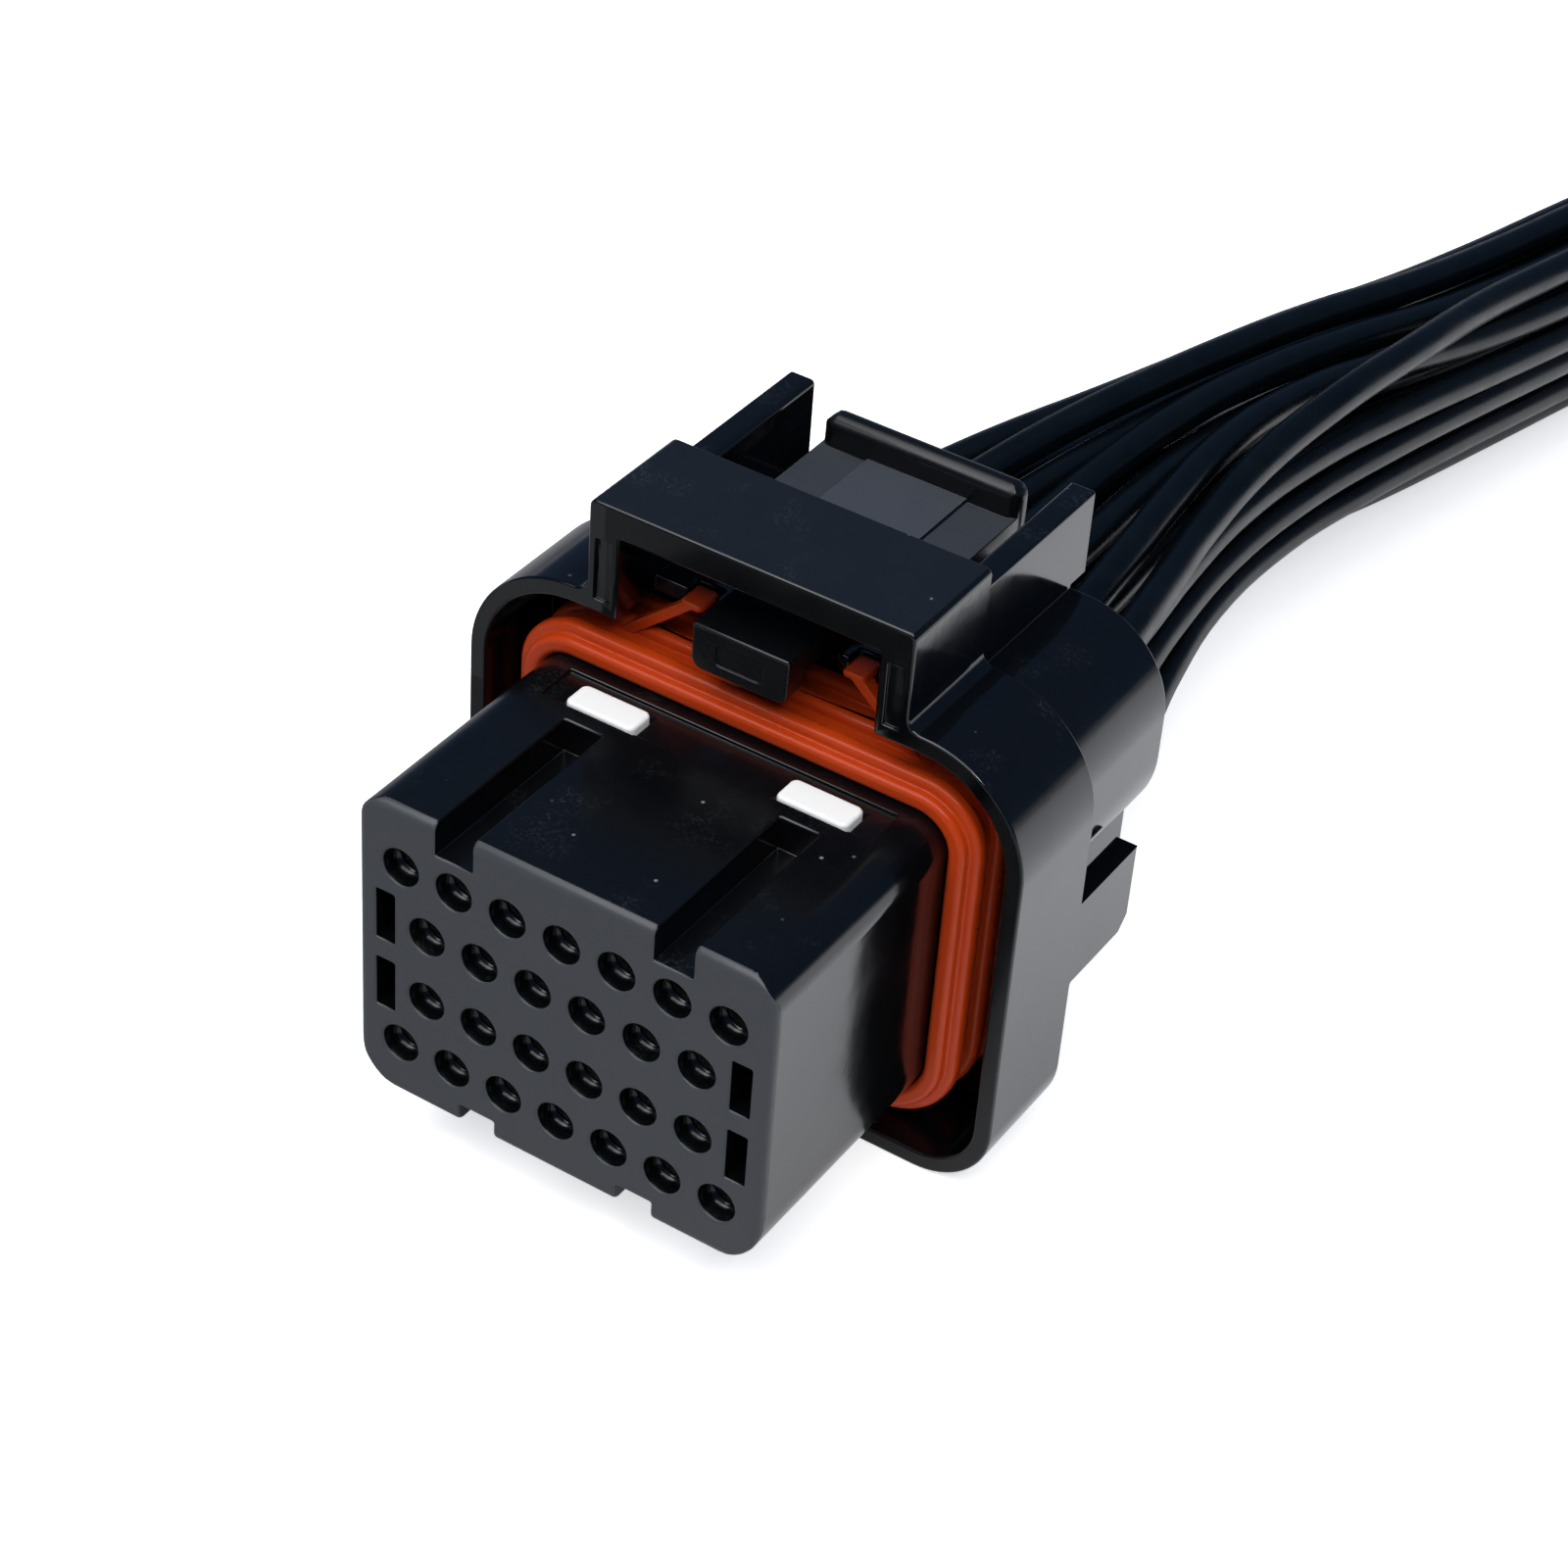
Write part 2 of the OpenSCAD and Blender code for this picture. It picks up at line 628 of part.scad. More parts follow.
// Hood over the rear, with the guards that stand on it
module hood_and_guards() {
    along_y(shroud_end - JOIN, shroud_end + hood_front_len) hood_section(hood_edge);
    along_y(shroud_end, hood_end) hood_section(hood_edge + hood_step);
    both_sides() difference() {
        union() {
            translate([guard_in, shroud_end - JOIN, hood_top - hood_wall / 2])
                cube([guard_t, hood_len + JOIN, guard_top - hood_top + hood_wall / 2]);
            translate([guard_in, shroud_end, hood_top])
                cube([guard_t, guard_len, guard_top - hood_top]);
        }
        along_x(guard_in - CUT, guard_in + stub_seat)
            translate([pivot_y, pivot_z]) circle(stub_r + stub_play);
    }
}

// Sleeve around the wire seal, with the ramps that hold the rear cover
module sleeve() {
    along_y(shroud_end, sleeve_end) outline(sleeve_half, -sleeve_z, sleeve_z, sleeve_r, sleeve_r);
    both_sides() along_z(-ramp_h / 2, ramp_h / 2) polygon([
        [sleeve_half - JOIN, ramp_y], [sleeve_half + ramp_rise, ramp_y],
        [sleeve_half, ramp_y + ramp_len], [sleeve_half - JOIN, ramp_y + ramp_len]]);
}

// Lug behind each side of the shroud, in line with its wall
module side_lugs() {
    back = shroud_end + lug_len;
    both_sides() along_x(out_half - lug_t, out_half) polygon([
        [shroud_end - JOIN, -lug_below], [back - lug_corner, -lug_below], [back, -lug_below + lug_corner],
        [back, lug_top], [shroud_end - JOIN, lug_top]]);
}

// Outer moulding: shroud, bridge, guards, hood and lugs around the contact block
module housing() {
    color(black) place() difference() {
        union() {
            shroud_and_bridge();
            hood_and_guards();
            side_lugs();
        }
        along_y(web_y - CUT, shroud_end + CUT) nose_section(block_play);
    }
}

// Inner moulding: nose with the cavities, and a sleeve whose shoulder seats on the shroud's wall
module contact_block() {
    color(black) place() difference() {
        union() {
            nose_block();
            sleeve();
        }
        nose_grooves();
        cavities();
        lock_slot();
        along_y(pocket_y, sleeve_end + CUT) outline(pocket_half, -pocket_z, pocket_z, pocket_r, pocket_r);
    }
}

// Ring of silicone on the root of the nose: lips that seal against the header, and two tabs on straps
module interface_seal() {
    module ring(thick) difference() {
        nose_section(thick);
        nose_section(seal_play);
    }
    tab_low = out_top - seal_tab_sunk - seal_tab_t;
    color(orange) place() {
        along_y(seal_y, seal_end) ring(seal_t);
        for (i = [0:2]) translate([0, i * lip_pitch, 0])
            along_y(seal_y + lip_lead, seal_y + lip_lead + lip_w) ring(seal_t + lip_h);
        seal_tabs(tab_low, tab_low + seal_tab_t);
        strap_in = seal_tab_x + seal_tab_w / 2 - strap_w;
        both_sides() along_y(strap_y, strap_y + strap_len) polygon([
            [strap_in, tab_low + JOIN], [strap_in + strap_w, tab_low + JOIN],
            [strap_in + strap_w + strap_out, nose_top + seal_t / 2],
            [strap_in + strap_out, nose_top + seal_t / 2]]);
    }
}

// Sheet that locks the terminals, pushed up through the nose from below
module lock_plate() {
    color(white) place() intersection() {
        along_y(lock_y, lock_y + lock_t) difference() {
            lock_section();
            at_contacts() translate([0, lock_travel]) square([window_w, window_h], center = true);
        }
        union() {
            along_z(nose_bottom - CUT, lock_top) rect([-nose_half, lock_y], [nose_half, lock_y + lock_t]);
            for (side = [-1, 1]) translate([side * tab_x, 0])
                along_z(0, nose_top + tab_proud) outline(tab_w / 2, lock_y, lock_y + lock_t, tab_r, tab_r);
        }
    }
}

// Press bar at the end of the lever, round along its top and at its ends
module press_bar() {
    round_top = press_t / 2 - SINK;
    intersection() {
        along_x(-press_w / 2, press_w / 2) translate([press_y + press_t / 2, 0])
            outline(press_t / 2, pad_top - pad_t, pad_top + press_h, press_low_r / 3, round_top);
        along_y(press_y - CUT, press_end + CUT)
            outline(press_w / 2, pad_top - pad_t, pad_top + press_h, press_low_r, press_end_r);
        along_z(pad_top - pad_t - CUT, pad_top + press_h + CUT)
            outline(press_w / 2, press_y, press_end, round_top, round_top);
    }
}

// Rocking lever: catch in front, thumb pad behind, turning on two torsion stubs
module latch_lever() {
    color(black) place() {
        difference() {
            intersection() {
                along_x(-catch_w / 2, catch_w / 2) polygon([
                    [catch_y, catch_z], [catch_y + catch_len, catch_z],
                    [catch_y + catch_len + catch_slope, arm_top - arm_t], [pivot_y, arm_top - arm_t],
                    [pivot_y, pad_top], [pad_y, pad_top], [pad_y - pad_slope, arm_top], [catch_y, arm_top]]);
                along_y(catch_y - CUT, pivot_y + CUT)
                    outline(catch_w / 2, catch_z, pad_top + CUT, catch_r, catch_r);
            }
            along_y(catch_y - CUT, catch_y + catch_panel) outline(
                catch_w / 4, catch_z + catch_h / 4, catch_z + catch_h * 3 / 4, catch_panel_r, catch_panel_r);
        }
        along_z(pad_top - pad_t, pad_top)
            rect([-pad_w / 2, pad_y], [pad_w / 2, press_y + press_t / 2]);
        along_z(pad_top - JOIN, pad_top + tile_h)
            rect([-tile_w / 2, pad_y + tile_back], [tile_w / 2, press_y + JOIN]);
        press_bar();
        along_x(-pad_w / 2, pad_w / 2) translate([pivot_y, pivot_z]) circle(hub_r);
        along_x(-stub_end, stub_end) translate([pivot_y, pivot_z]) circle(stub_r);
    }
}

// Mat of silicone that seals every wire
module wire_seal() {
    color(orange) place() along_y(pocket_y + seal_play, pocket_y + seal_play + wire_seal_t) difference() {
        outline(pocket_half - seal_play, -pocket_z + seal_play, pocket_z - seal_play, pocket_r, pocket_r);
        at_contacts() circle(wire_d / 2 + seal_play);
    }
}

// Cover that holds the mat in its pocket, with an arm that snaps on each side
module rear_cover() {
    plate_y = sleeve_end + cover_play;
    color(black) place() difference() {
        union() {
            along_y(plug_y, plate_y + JOIN) outline(
                pocket_half - cover_play, -pocket_z + cover_play, pocket_z - cover_play, pocket_r, pocket_r);
            along_y(plate_y, cover_end) outline(sleeve_half, -sleeve_z, sleeve_z, sleeve_r, sleeve_r);
            both_sides() difference() {
                along_z(-arm_side_h / 2, arm_side_h / 2) {
                    rect([arm_side_x, arm_side_y], [arm_side_x + arm_side_t, cover_end]);
                    rect([sleeve_half - CUT, plate_y], [arm_side_x + arm_side_t, cover_end]);
                }
                translate([arm_side_x - CUT, ramp_y - cover_play, -ramp_h / 2 - cover_play])
                    cube([arm_side_t + 2 * CUT, ramp_len + 4 * cover_play, ramp_h + 2 * cover_play]);
            }
        }
        along_y(plug_y - CUT, cover_end + CUT) at_contacts() circle((wire_d + cover_hole_play) / 2);
    }
}

// Crimped receptacle: folded box with a spring tongue, neck, conductor crimp and insulation barrel
module terminal(i) {
    c = contacts[i];
    color(tin) place() translate([c[0], 0, c[1]]) {
        difference() {
            along_y(box_y, box_end) square([box_w, box_h], center = true);
            along_y(box_y - CUT, box_y + CUT) circle(d = pin_mouth_d);
            along_y(box_y + sheet_t, box_end - sheet_t)
                square([box_w - 2 * sheet_t, box_h - 2 * sheet_t], center = true);
        }
        tip_y = box_y + tongue_back;
        root_y = tip_y + tongue_len;
        tip_z = -box_h / 2 + sheet_t + tongue_gap;
        root_z = box_h / 2 - sheet_t;
        along_x(-tongue_w / 2, tongue_w / 2) polygon([
            [tip_y, tip_z + sheet_t], [tip_y + tongue_tip, tip_z], [root_y, root_z],
            [root_y, root_z + sheet_t / 2], [root_y - 3 * sheet_t, root_z + sheet_t / 2],
            [tip_y + tongue_tip, tip_z + 1.5 * sheet_t]]);
        along_y(box_end - JOIN, crimp_y + JOIN) rect([-neck_w / 2, 0], [neck_w / 2, neck_h]);
        along_y(crimp_y, wire_y) circle(d = crimp_d);
        strip_low = -barrel_out + SINK;
        along_y(wire_y - strip_lap, wire_y) rect([-strip_w / 2, strip_low], [strip_w / 2, 0]);
        along_y(wire_y - strip_lap, barrel_y + barrel_len)
            rect([-strip_w / 2, strip_low], [strip_w / 2, -barrel_in]);
        along_y(barrel_y, barrel_y + barrel_len) difference() {
            circle(barrel_out);
            circle(barrel_in);
        }
    }
}

// Smooth step from 0 to 1
function ease(t) = let (s = min(max(t, 0), 1)) s * s * (3 - 2 * s);

// Place of a wire in the round bundle, from its contact
function bundle_place(c) =
    let (outer = c[2] == 0 || c[2] == 3,
         row = outer ? OUTER_ROW : INNER_ROW,
         up = sign(c[1]),
         zig = c[3] % 2 == 1 ? row[2] : -row[2])
    [c[0] * row[0], up * row[1] + (outer ? up * zig : zig)];

// Last contact of a row
function row_last(r) = [for (c = contacts) if (c[2] == r && c[3] == ROW_COUNTS[r] - 1) c][0];

// Place of a wire in the bundle at a distance behind the cover: those on the right climb one place
function climbed_place(c, behind) =
    let (from = bundle_place(c),
         to = c[2] == 0 ? CLIMB_TOP : bundle_place(row_last(c[2] - 1)),
         part = ease((behind - CLIMB_FROM) / (CLIMB_TO - CLIMB_FROM)),
         way = to - from,
         bow = 4 * part * (1 - part) * (c[2] == 0 ? CLIMB_OUT[0] : CLIMB_OUT[1]))
    c[3] < ROW_COUNTS[c[2]] - 1 ? from : from + part * way + bow * [way[1], -way[0]] / norm(way);

// Place of a wire at one point of the route
function wire_point(c, p) =
    let (closed = ease((p[1] - GATHER_FROM) / (GATHER_TO - GATHER_FROM)),
         turn = BUNDLE_TURN * ease((p[1] - GATHER_FROM) / (TURN_TO - GATHER_FROM)),
         at = climbed_place(c, p[1]),
         x = c[0] + (at[0] - c[0]) * closed,
         z = c[1] + (at[1] - c[1]) * closed)
    [p[0] + x * cos(turn) - z * sin(turn), cover_end + p[1], p[2] + x * sin(turn) + z * cos(turn)];

function wire_points(c) = concat([[c[0], wire_y, c[1]]], [for (p = WIRE_ROUTE) wire_point(c, p)]);

function unit(v) = v / norm(v);

// Ring of a tube's points around a point of its route
function ring(p, along) =
    let (across = unit(cross(along, [0, 0, 1])), up = cross(across, along))
    [for (k = [0:SIDES - 1]) p + wire_d / 2 * (cos(360 * k / SIDES) * across + sin(360 * k / SIDES) * up)];

// One lead, from its crimp to its cut end
module wire(i) {
    p = wire_points(contacts[i]);
    last = len(p) - 1;
    tube = [for (j = [0:last]) each ring(p[j], unit(p[min(j + 1, last)] - p[max(j - 1, 0)]))];
    sides = [for (j = [0:last - 1]) for (k = [0:SIDES - 1])
        let (a = j * SIDES + k, b = j * SIDES + (k + 1) % SIDES)
        each [[a, b, b + SIDES], [a, b + SIDES, a + SIDES]]];
    front = [for (k = [SIDES - 1:-1:0]) k];
    back = [for (k = [0:SIDES - 1]) last * SIDES + k];
    color(black) place() polyhedron(tube, concat([front], sides, [back]));
}

housing();
contact_block();
interface_seal();
lock_plate();
latch_lever();
wire_seal();
rear_cover();
for (i = [0:COUNT - 1]) {
    terminal(i);
    wire(i);
}
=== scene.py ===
"""Looks of a sealed control unit plug with its wire leads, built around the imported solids.

Lengths are in metres in the frame of the solids: -Y out of the mating face, +Z up.
"""

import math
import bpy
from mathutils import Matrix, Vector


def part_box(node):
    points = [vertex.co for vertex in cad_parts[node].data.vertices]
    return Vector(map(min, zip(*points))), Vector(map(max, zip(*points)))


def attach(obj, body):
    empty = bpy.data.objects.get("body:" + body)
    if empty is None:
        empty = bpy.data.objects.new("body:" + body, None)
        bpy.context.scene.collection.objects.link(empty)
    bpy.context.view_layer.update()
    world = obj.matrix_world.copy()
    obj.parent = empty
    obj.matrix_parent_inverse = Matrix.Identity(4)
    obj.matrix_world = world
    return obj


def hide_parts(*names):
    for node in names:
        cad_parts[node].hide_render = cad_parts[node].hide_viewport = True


bl_info = {
    "name": "Sealed control unit plug",
    "version": (1, 0, 0),
    "blender": (4, 5, 0),
    "location": "3D View > Sidebar > Plug",
    "description": "Makes the mouldings, seals, terminals and wires of a sealed plug, and a stage for it",
    "category": "Add Mesh",
}

import bmesh
import bpy
from bpy.props import FloatProperty, PointerProperty, StringProperty
from mathutils import Matrix, Vector

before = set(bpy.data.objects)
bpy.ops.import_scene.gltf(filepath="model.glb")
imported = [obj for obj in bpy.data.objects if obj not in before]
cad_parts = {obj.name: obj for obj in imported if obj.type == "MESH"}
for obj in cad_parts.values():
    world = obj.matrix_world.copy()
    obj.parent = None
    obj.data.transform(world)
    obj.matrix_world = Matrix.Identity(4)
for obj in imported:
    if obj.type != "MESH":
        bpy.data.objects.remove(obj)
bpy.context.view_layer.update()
MM = 0.001
MICRON = 0.000001

# Contact field: contacts in each row, height of its middle over the table, and of each row over that middle
ROW_COUNTS = (7, 6, 6, 7)
MIDDLE_Z = 12.15 * MM
ROW_Z = (5.35 * MM, 1.95 * MM, -1.95 * MM, -5.35 * MM)

# Housing: lever pivot, a plane over it that parts the guards, middle and inner side of a guard, top of the
# guards, distance from the nose's front to the bridge's back, and height where the bridge's pillars begin
PIVOT_Y, PIVOT_Z = 6.95 * MM, 26.1 * MM
OVER_PIVOT_Z = PIVOT_Z + 0.65 * MM
GUARD_X, GUARD_IN, GUARD_TOP = 7.92 * MM, 7.2 * MM, 29.35 * MM
BRIDGE_BACK = 20.7 * MM
PILLAR_FROM = 23 * MM

# Lever: width and thickness of the press bar, where the thumb pad begins, how far it lies at least below
# the lever's top, and the height that parts the pad from its tile and the bar
BAR_W, BAR_T = 11.2 * MM, 1.5 * MM
PAD_FROM, PAD_BELOW = 5.5 * MM, 1 * MM
TILE_FROM = 27.45 * MM

# Ring seal: where its straight runs meet its upper corners
SEAL_CORNER_X, SEAL_CORNER_Z = 8.6 * MM, 18.6 * MM

# Pin holes: depth of the solid's lead-in, depths between which its inner ring lies, and the straight
# counterbore that is made of it
LEAD_IN = 0.5 * MM
RING_FROM, RING_TO = LEAD_IN / 3, LEAD_IN * 1.1
COUNTERBORE_DEPTH = 1.13 * MM
COUNTERBORE_R = 1.0 * MM

# Finishes by face: how squarely a face looks up or forward (cosine), and how near it lies to the top or
# the front
BRIDGE_UP, NOSE_UP, PAD_UP = 0.9, 0.7, 0.95
SHROUD_FORWARD, NOSE_FORWARD = 0.8, 0.3
BRIDGE_BAND, NOSE_BAND = 0.1 * MM, 0.6 * MM

# Route of the bundle's middle, in millimetres: right of, behind and above the middle of the cover's back
WIRE_ROUTE = (
    (0, 1.5, 0), (0, 4.5, 0), (0, 7.5, 0), (0, 10.5, 0.1), (0.1, 14.5, 0.2), (0.2, 19, 0.3),
    (0.5, 26, 0.2), (1.2, 34, -0.4), (2.6, 42, -1.2), (4.4, 50, -2.2), (6, 58, -3), (7.8, 67, -3.6),
    (9.6, 76, -4.1), (11.2, 86, -4.35), (12.4, 96, -4.5), (13.2, 106, -4.5), (13.6, 116, -4.5),
    (13.6, 126, -4.5), (13.2, 136, -4.5), (12.4, 147, -4.5),
)

# Bundle, in millimetres behind the cover: where the wires begin to close up, have closed and have turned.
# A row keeps a share of its width, and gets a height and a zigzag in millimetres.
GATHER_FROM, GATHER_TO, TURN_TO = 1.5, 34, 60
BUNDLE_TURN = math.radians(-20)
OUTER_ROW = (0.42, 5.3, 0.85)
INNER_ROW = (0.56, 1.75, 0.7)

# The last wire of each row climbs one place, between two distances behind the cover in millimetres. The top
# one goes to a place of its own, and each bows out on its way, the top one most.
CLIMB_FROM, CLIMB_TO = 14, 56
CLIMB_TOP = (1.26 * MM, 8 * MM)
BOW_TOP, BOW_OTHERS = 2.7 * MM, 0.8 * MM

# Wires and strands: fineness of a jacket around and along, rings of strands around the middle one, sides
# of a strand, how much its length varies, and the seed of that
JACKET_AROUND, JACKET_ALONG = 4, 5
STRAND_RINGS, STRAND_SIDES = 2, 10
STRAND_SHORTEST, STRAND_LONGEST = (1.0, 1.0, 0.8), (1.0, 1.0, 1.2)
STRAND_SEED = 7

# Rounding of edges: angles from which an edge is sharp and a crease stays, and below which faces are
# merged; cosine from which edges run on smoothly; share of the radius in a hollow; tolerances
SHARP, CREASE, FLAT = math.radians(28), math.radians(42), math.radians(0.6)
SMOOTH = 0.85
HOLLOW = 0.4
NEAR = 0.05 * MM
MERGE, MERGE_PARTED, ON_PLANE = 1e-6, 5e-6, 2e-6

# Camera, solved from the pin holes in the photo
SENSOR_WIDTH, LENS, CLIP_START = 36, 86.66, 0.01
CAMERA_AT = (0.072996, -0.121437, 0.126834)
CAMERA_RIGHT = (0.83595, 0.54530, 0.06187)
CAMERA_UP = (-0.37575, 0.48653, 0.78873)
CAMERA_BACK = (0.39999, -0.68259, 0.61162)

# Light table: half its width in metres, the paper's tones, and the millimetres to the right and behind
# between which the tone and glow that the plug mirrors grow from dim to bright: a painted shadow of the
# plug on the left and in front, and painted light on the right. In front a share of that is left.
TABLE_HALF = 3
PAPER, PAPER_PAINTED_SHADE = "#f4f4f4", "#a4a4a4"
BRIGHT_X, BRIGHT_Y = (-15, 25), (-19, -12)
FRONT_SHARE = 0.15

# Place and size of each light in metres, and the spot that they all point at
SKY_LIGHT = ((0.0, -0.3, 1.0), 1.2)
WINDOW_LIGHT = ((-0.3, -0.5, 0.8), 0.55)
LAMP = ((0.45, -0.32, 0.71), 0.14)
LIT_SPOT = Vector((0, 0, 0.01))

# Linear colours of the room at the horizon and above, and how far up the first one fades into the other
HORIZON, OVERHEAD = (0.6, 0.62, 0.66, 1), (0.05, 0.09, 0.17, 1)
FADE_TO = 0.09


# Settings


class PlugSizes(bpy.types.PropertyGroup):
    """Sizes of the plug's details"""

    pitch: FloatProperty(
        name="Contact pitch", description="Distance between contacts along a row",
        default=3.0 * MM, unit="LENGTH", precision=5)
    housing_edge: FloatProperty(
        name="Housing edge", description="Radius of the housing's moulded edges",
        default=0.16 * MM, unit="LENGTH", precision=5)
    bridge_edge: FloatProperty(
        name="Bridge edge", description="Radius of the bridge's rear top edge",
        default=0.45 * MM, unit="LENGTH", precision=5)
    guard_edge: FloatProperty(
        name="Guard edge", description="Radius of the guards' inner top edges",
        default=0.35 * MM, unit="LENGTH", precision=5)
    lever_edge: FloatProperty(
        name="Lever edge", description="Radius of the lever's edges",
        default=0.16 * MM, unit="LENGTH", precision=5)
    seal_edge: FloatProperty(
        name="Seal edge", description="Radius of the seal's lips",
        default=0.36 * MM, unit="LENGTH", precision=5)
    lock_edge: FloatProperty(
        name="Lock edge", description="Radius of the lock tabs' edges",
        default=0.2 * MM, unit="LENGTH", precision=5)
    wire_diameter: FloatProperty(
        name="Wire diameter", description="Diameter of a lead over its jacket",
        default=1.9 * MM, unit="LENGTH", precision=5)
    strand_length: FloatProperty(
        name="Strand length", description="Length of the strands at a cut end, half of it in the jacket",
        default=0.7 * MM, unit="LENGTH", precision=5)
    strand_diameter: FloatProperty(
        name="Strand diameter", description="Diameter of one tinned strand",
        default=0.2 * MM, unit="LENGTH", precision=5)


class PlugColours(bpy.types.PropertyGroup):
    """Colours of the plug's materials, as sRGB hex values"""

    black: StringProperty(name="Housing", description="Black of the mouldings", default="#07080a")
    worn: StringProperty(name="Bridge top", description="Lighter black of the bridge's top, painted light", default="#15181c")
    # The nose front's grey is partly painted light, for the light that its forward faces catch
    eroded: StringProperty(name="Nose front", description="Grey of the nose's front", default="#3f4144")
    etched: StringProperty(name="Thumb pad", description="Grey of the etched thumb pad", default="#2b2f35")
    tile: StringProperty(name="Thumb tile", description="Grey of the tile on the pad", default="#373b42")
    orange: StringProperty(name="Seals", description="Orange of the silicone", default="#c03e10")
    white: StringProperty(name="Lock", description="White of the lock plate", default="#f1f0ec")
    tin: StringProperty(name="Terminals", description="Tin of the terminals and strands", default="#cfccc4")
    jacket: StringProperty(name="Wires", description="Black of the wire jackets", default="#03070b")


class PlugStage(bpy.types.PropertyGroup):
    """Light and floor"""

    sky_power: FloatProperty(
        name="Sky light", description="Power of the wide light above", default=12.5, unit="POWER")
    window_power: FloatProperty(
        name="Window light", description="Power of the light in front on the left",
        default=1.6, unit="POWER")
    lamp_power: FloatProperty(
        name="Lamp", description="Power of the small lamp above on the right", default=1.2, unit="POWER")
    glow: FloatProperty(
        name="Table glow", description="Light that the light table gives", default=0.65, min=0)
    # Painted light: the glow that the plug mirrors and is lit by, bright on the right; it is dim on the
    # left and in front as a painted shadow
    painted_glow_right: FloatProperty(
        name="Painted glow on the right", description="Light of the table as the plug's right side reflects it",
        default=0.46, min=0)


# Materials. Patterns are laid out in millimetres, so a scale is 1 over the size of a wave or grain.

MATERIALS = {}

# Heights of a moulding's sink waves and flow marks in microns, the tint of dust, and how much rougher it is
WAVE_HEIGHT, FLOW_HEIGHT = 20, 2.5
DUST_TINT = (1.0, 1.04, 1.1)
DUST_ROUGH = 0.4

# Most of a noise's values lie in this span
NOISE_SPAN = {"From Min": 0.3, "From Max": 0.7}

# A Mix node has sockets of the same name for each kind of value: these are the numbers' and the colours'
NUMBER_A, NUMBER_B, NUMBER_OUT = 2, 3, 0
COLOUR_A, COLOUR_B, COLOUR_OUT = 6, 7, 2


def linear(code):
    """Linear RGBA of an sRGB hex value."""
    parts = [int(code[i : i + 2], 16) / 255 for i in (1, 3, 5)]
    return [c / 12.92 if c <= 0.04045 else ((c + 0.055) / 1.055) ** 2.4 for c in parts] + [1.0]


def add_node(tree, kind, settings=None, inputs=None, links=None):
    """A new node with its settings, and the values and sources of its inputs by name or index."""
    node = tree.nodes.new(kind)
    for name, value in (settings or {}).items():
        setattr(node, name, value)
    for name, value in (inputs or {}).items():
        node.inputs[name].default_value = value
    for name, source in (links or {}).items():
        tree.links.new(source, node.inputs[name])
    return node


def new_material(name, **shader):
    """A material, its nodes, its Principled shader, and object coordinates in millimetres."""
    material = bpy.data.materials.new(name)
    material.use_nodes = True
    tree = material.node_tree
    bsdf = tree.nodes["Principled BSDF"]
    for socket, value in shader.items():
        bsdf.inputs[socket.replace("_", " ")].default_value = value
    place = add_node(tree, "ShaderNodeTexCoord")
    scaled = add_node(tree, "ShaderNodeVectorMath", {"operation": "SCALE"}, {"Scale": 1 / MM},
                      {0: place.outputs["Object"]})
    return material, tree, bsdf, scaled.outputs["Vector"]


def dust(tree, mm):
    """How much dust lies on a spot: specks 0.1 to 0.2 mm across, and rubbed patches between them.

    Most lies on upward faces. There is one cell in about 1.6 mm, and about half of the cells have a speck,
    more or less pale. The patches are about 3 mm wide, with scuffs of about 0.2 mm in them.
    """
    cells = add_node(tree, "ShaderNodeTexVoronoi", inputs={"Scale": 0.62}, links={"Vector": mm})
    speck = add_node(tree, "ShaderNodeMapRange",
                     inputs={"From Min": 0.03, "From Max": 0.075, "To Min": 1.0, "To Max": 0.0},
                     links={"Value": cells.outputs["Distance"]})
    shade = add_node(tree, "ShaderNodeSeparateColor", links={0: cells.outputs["Color"]})
    chosen = add_node(tree, "ShaderNodeMapRange", inputs={"From Min": 0.5, "From Max": 0.95},
                      links={"Value": shade.outputs[0]})
    specks = add_node(tree, "ShaderNodeMath", {"operation": "MULTIPLY"},
                      links={0: speck.outputs[0], 1: chosen.outputs[0]})
    broad = add_node(tree, "ShaderNodeTexNoise", inputs={"Scale": 0.3, "Detail": 3.0}, links={"Vector": mm})
    patch = add_node(tree, "ShaderNodeMapRange", inputs={"From Min": 0.55, "From Max": 0.72},
                     links={"Value": broad.outputs["Fac"]})
    fine = add_node(tree, "ShaderNodeTexNoise", inputs={"Scale": 5.5, "Detail": 4.0, "Roughness": 0.7},
                    links={"Vector": mm})
    scuff = add_node(tree, "ShaderNodeMapRange", inputs={"From Min": 0.5, "From Max": 0.75, "To Max": 0.16},
                     links={"Value": fine.outputs["Fac"]})
    rubbed = add_node(tree, "ShaderNodeMath", {"operation": "MULTIPLY"},
                      links={0: patch.outputs[0], 1: scuff.outputs[0]})
    both = add_node(tree, "ShaderNodeMath", {"operation": "MAXIMUM"},
                    links={0: specks.outputs[0], 1: rubbed.outputs[0]})
    facing = add_node(tree, "ShaderNodeSeparateXYZ",
                      links={0: add_node(tree, "ShaderNodeTexCoord").outputs["Normal"]})
    upward = add_node(tree, "ShaderNodeMapRange", inputs={"From Min": 0.3, "From Max": 0.9, "To Min": 0.06},
                      links={"Value": facing.outputs["Z"]})
    lying = add_node(tree, "ShaderNodeMath", {"operation": "MULTIPLY"},
                     links={0: both.outputs[0], 1: upward.outputs[0]})
    return lying.outputs[0]


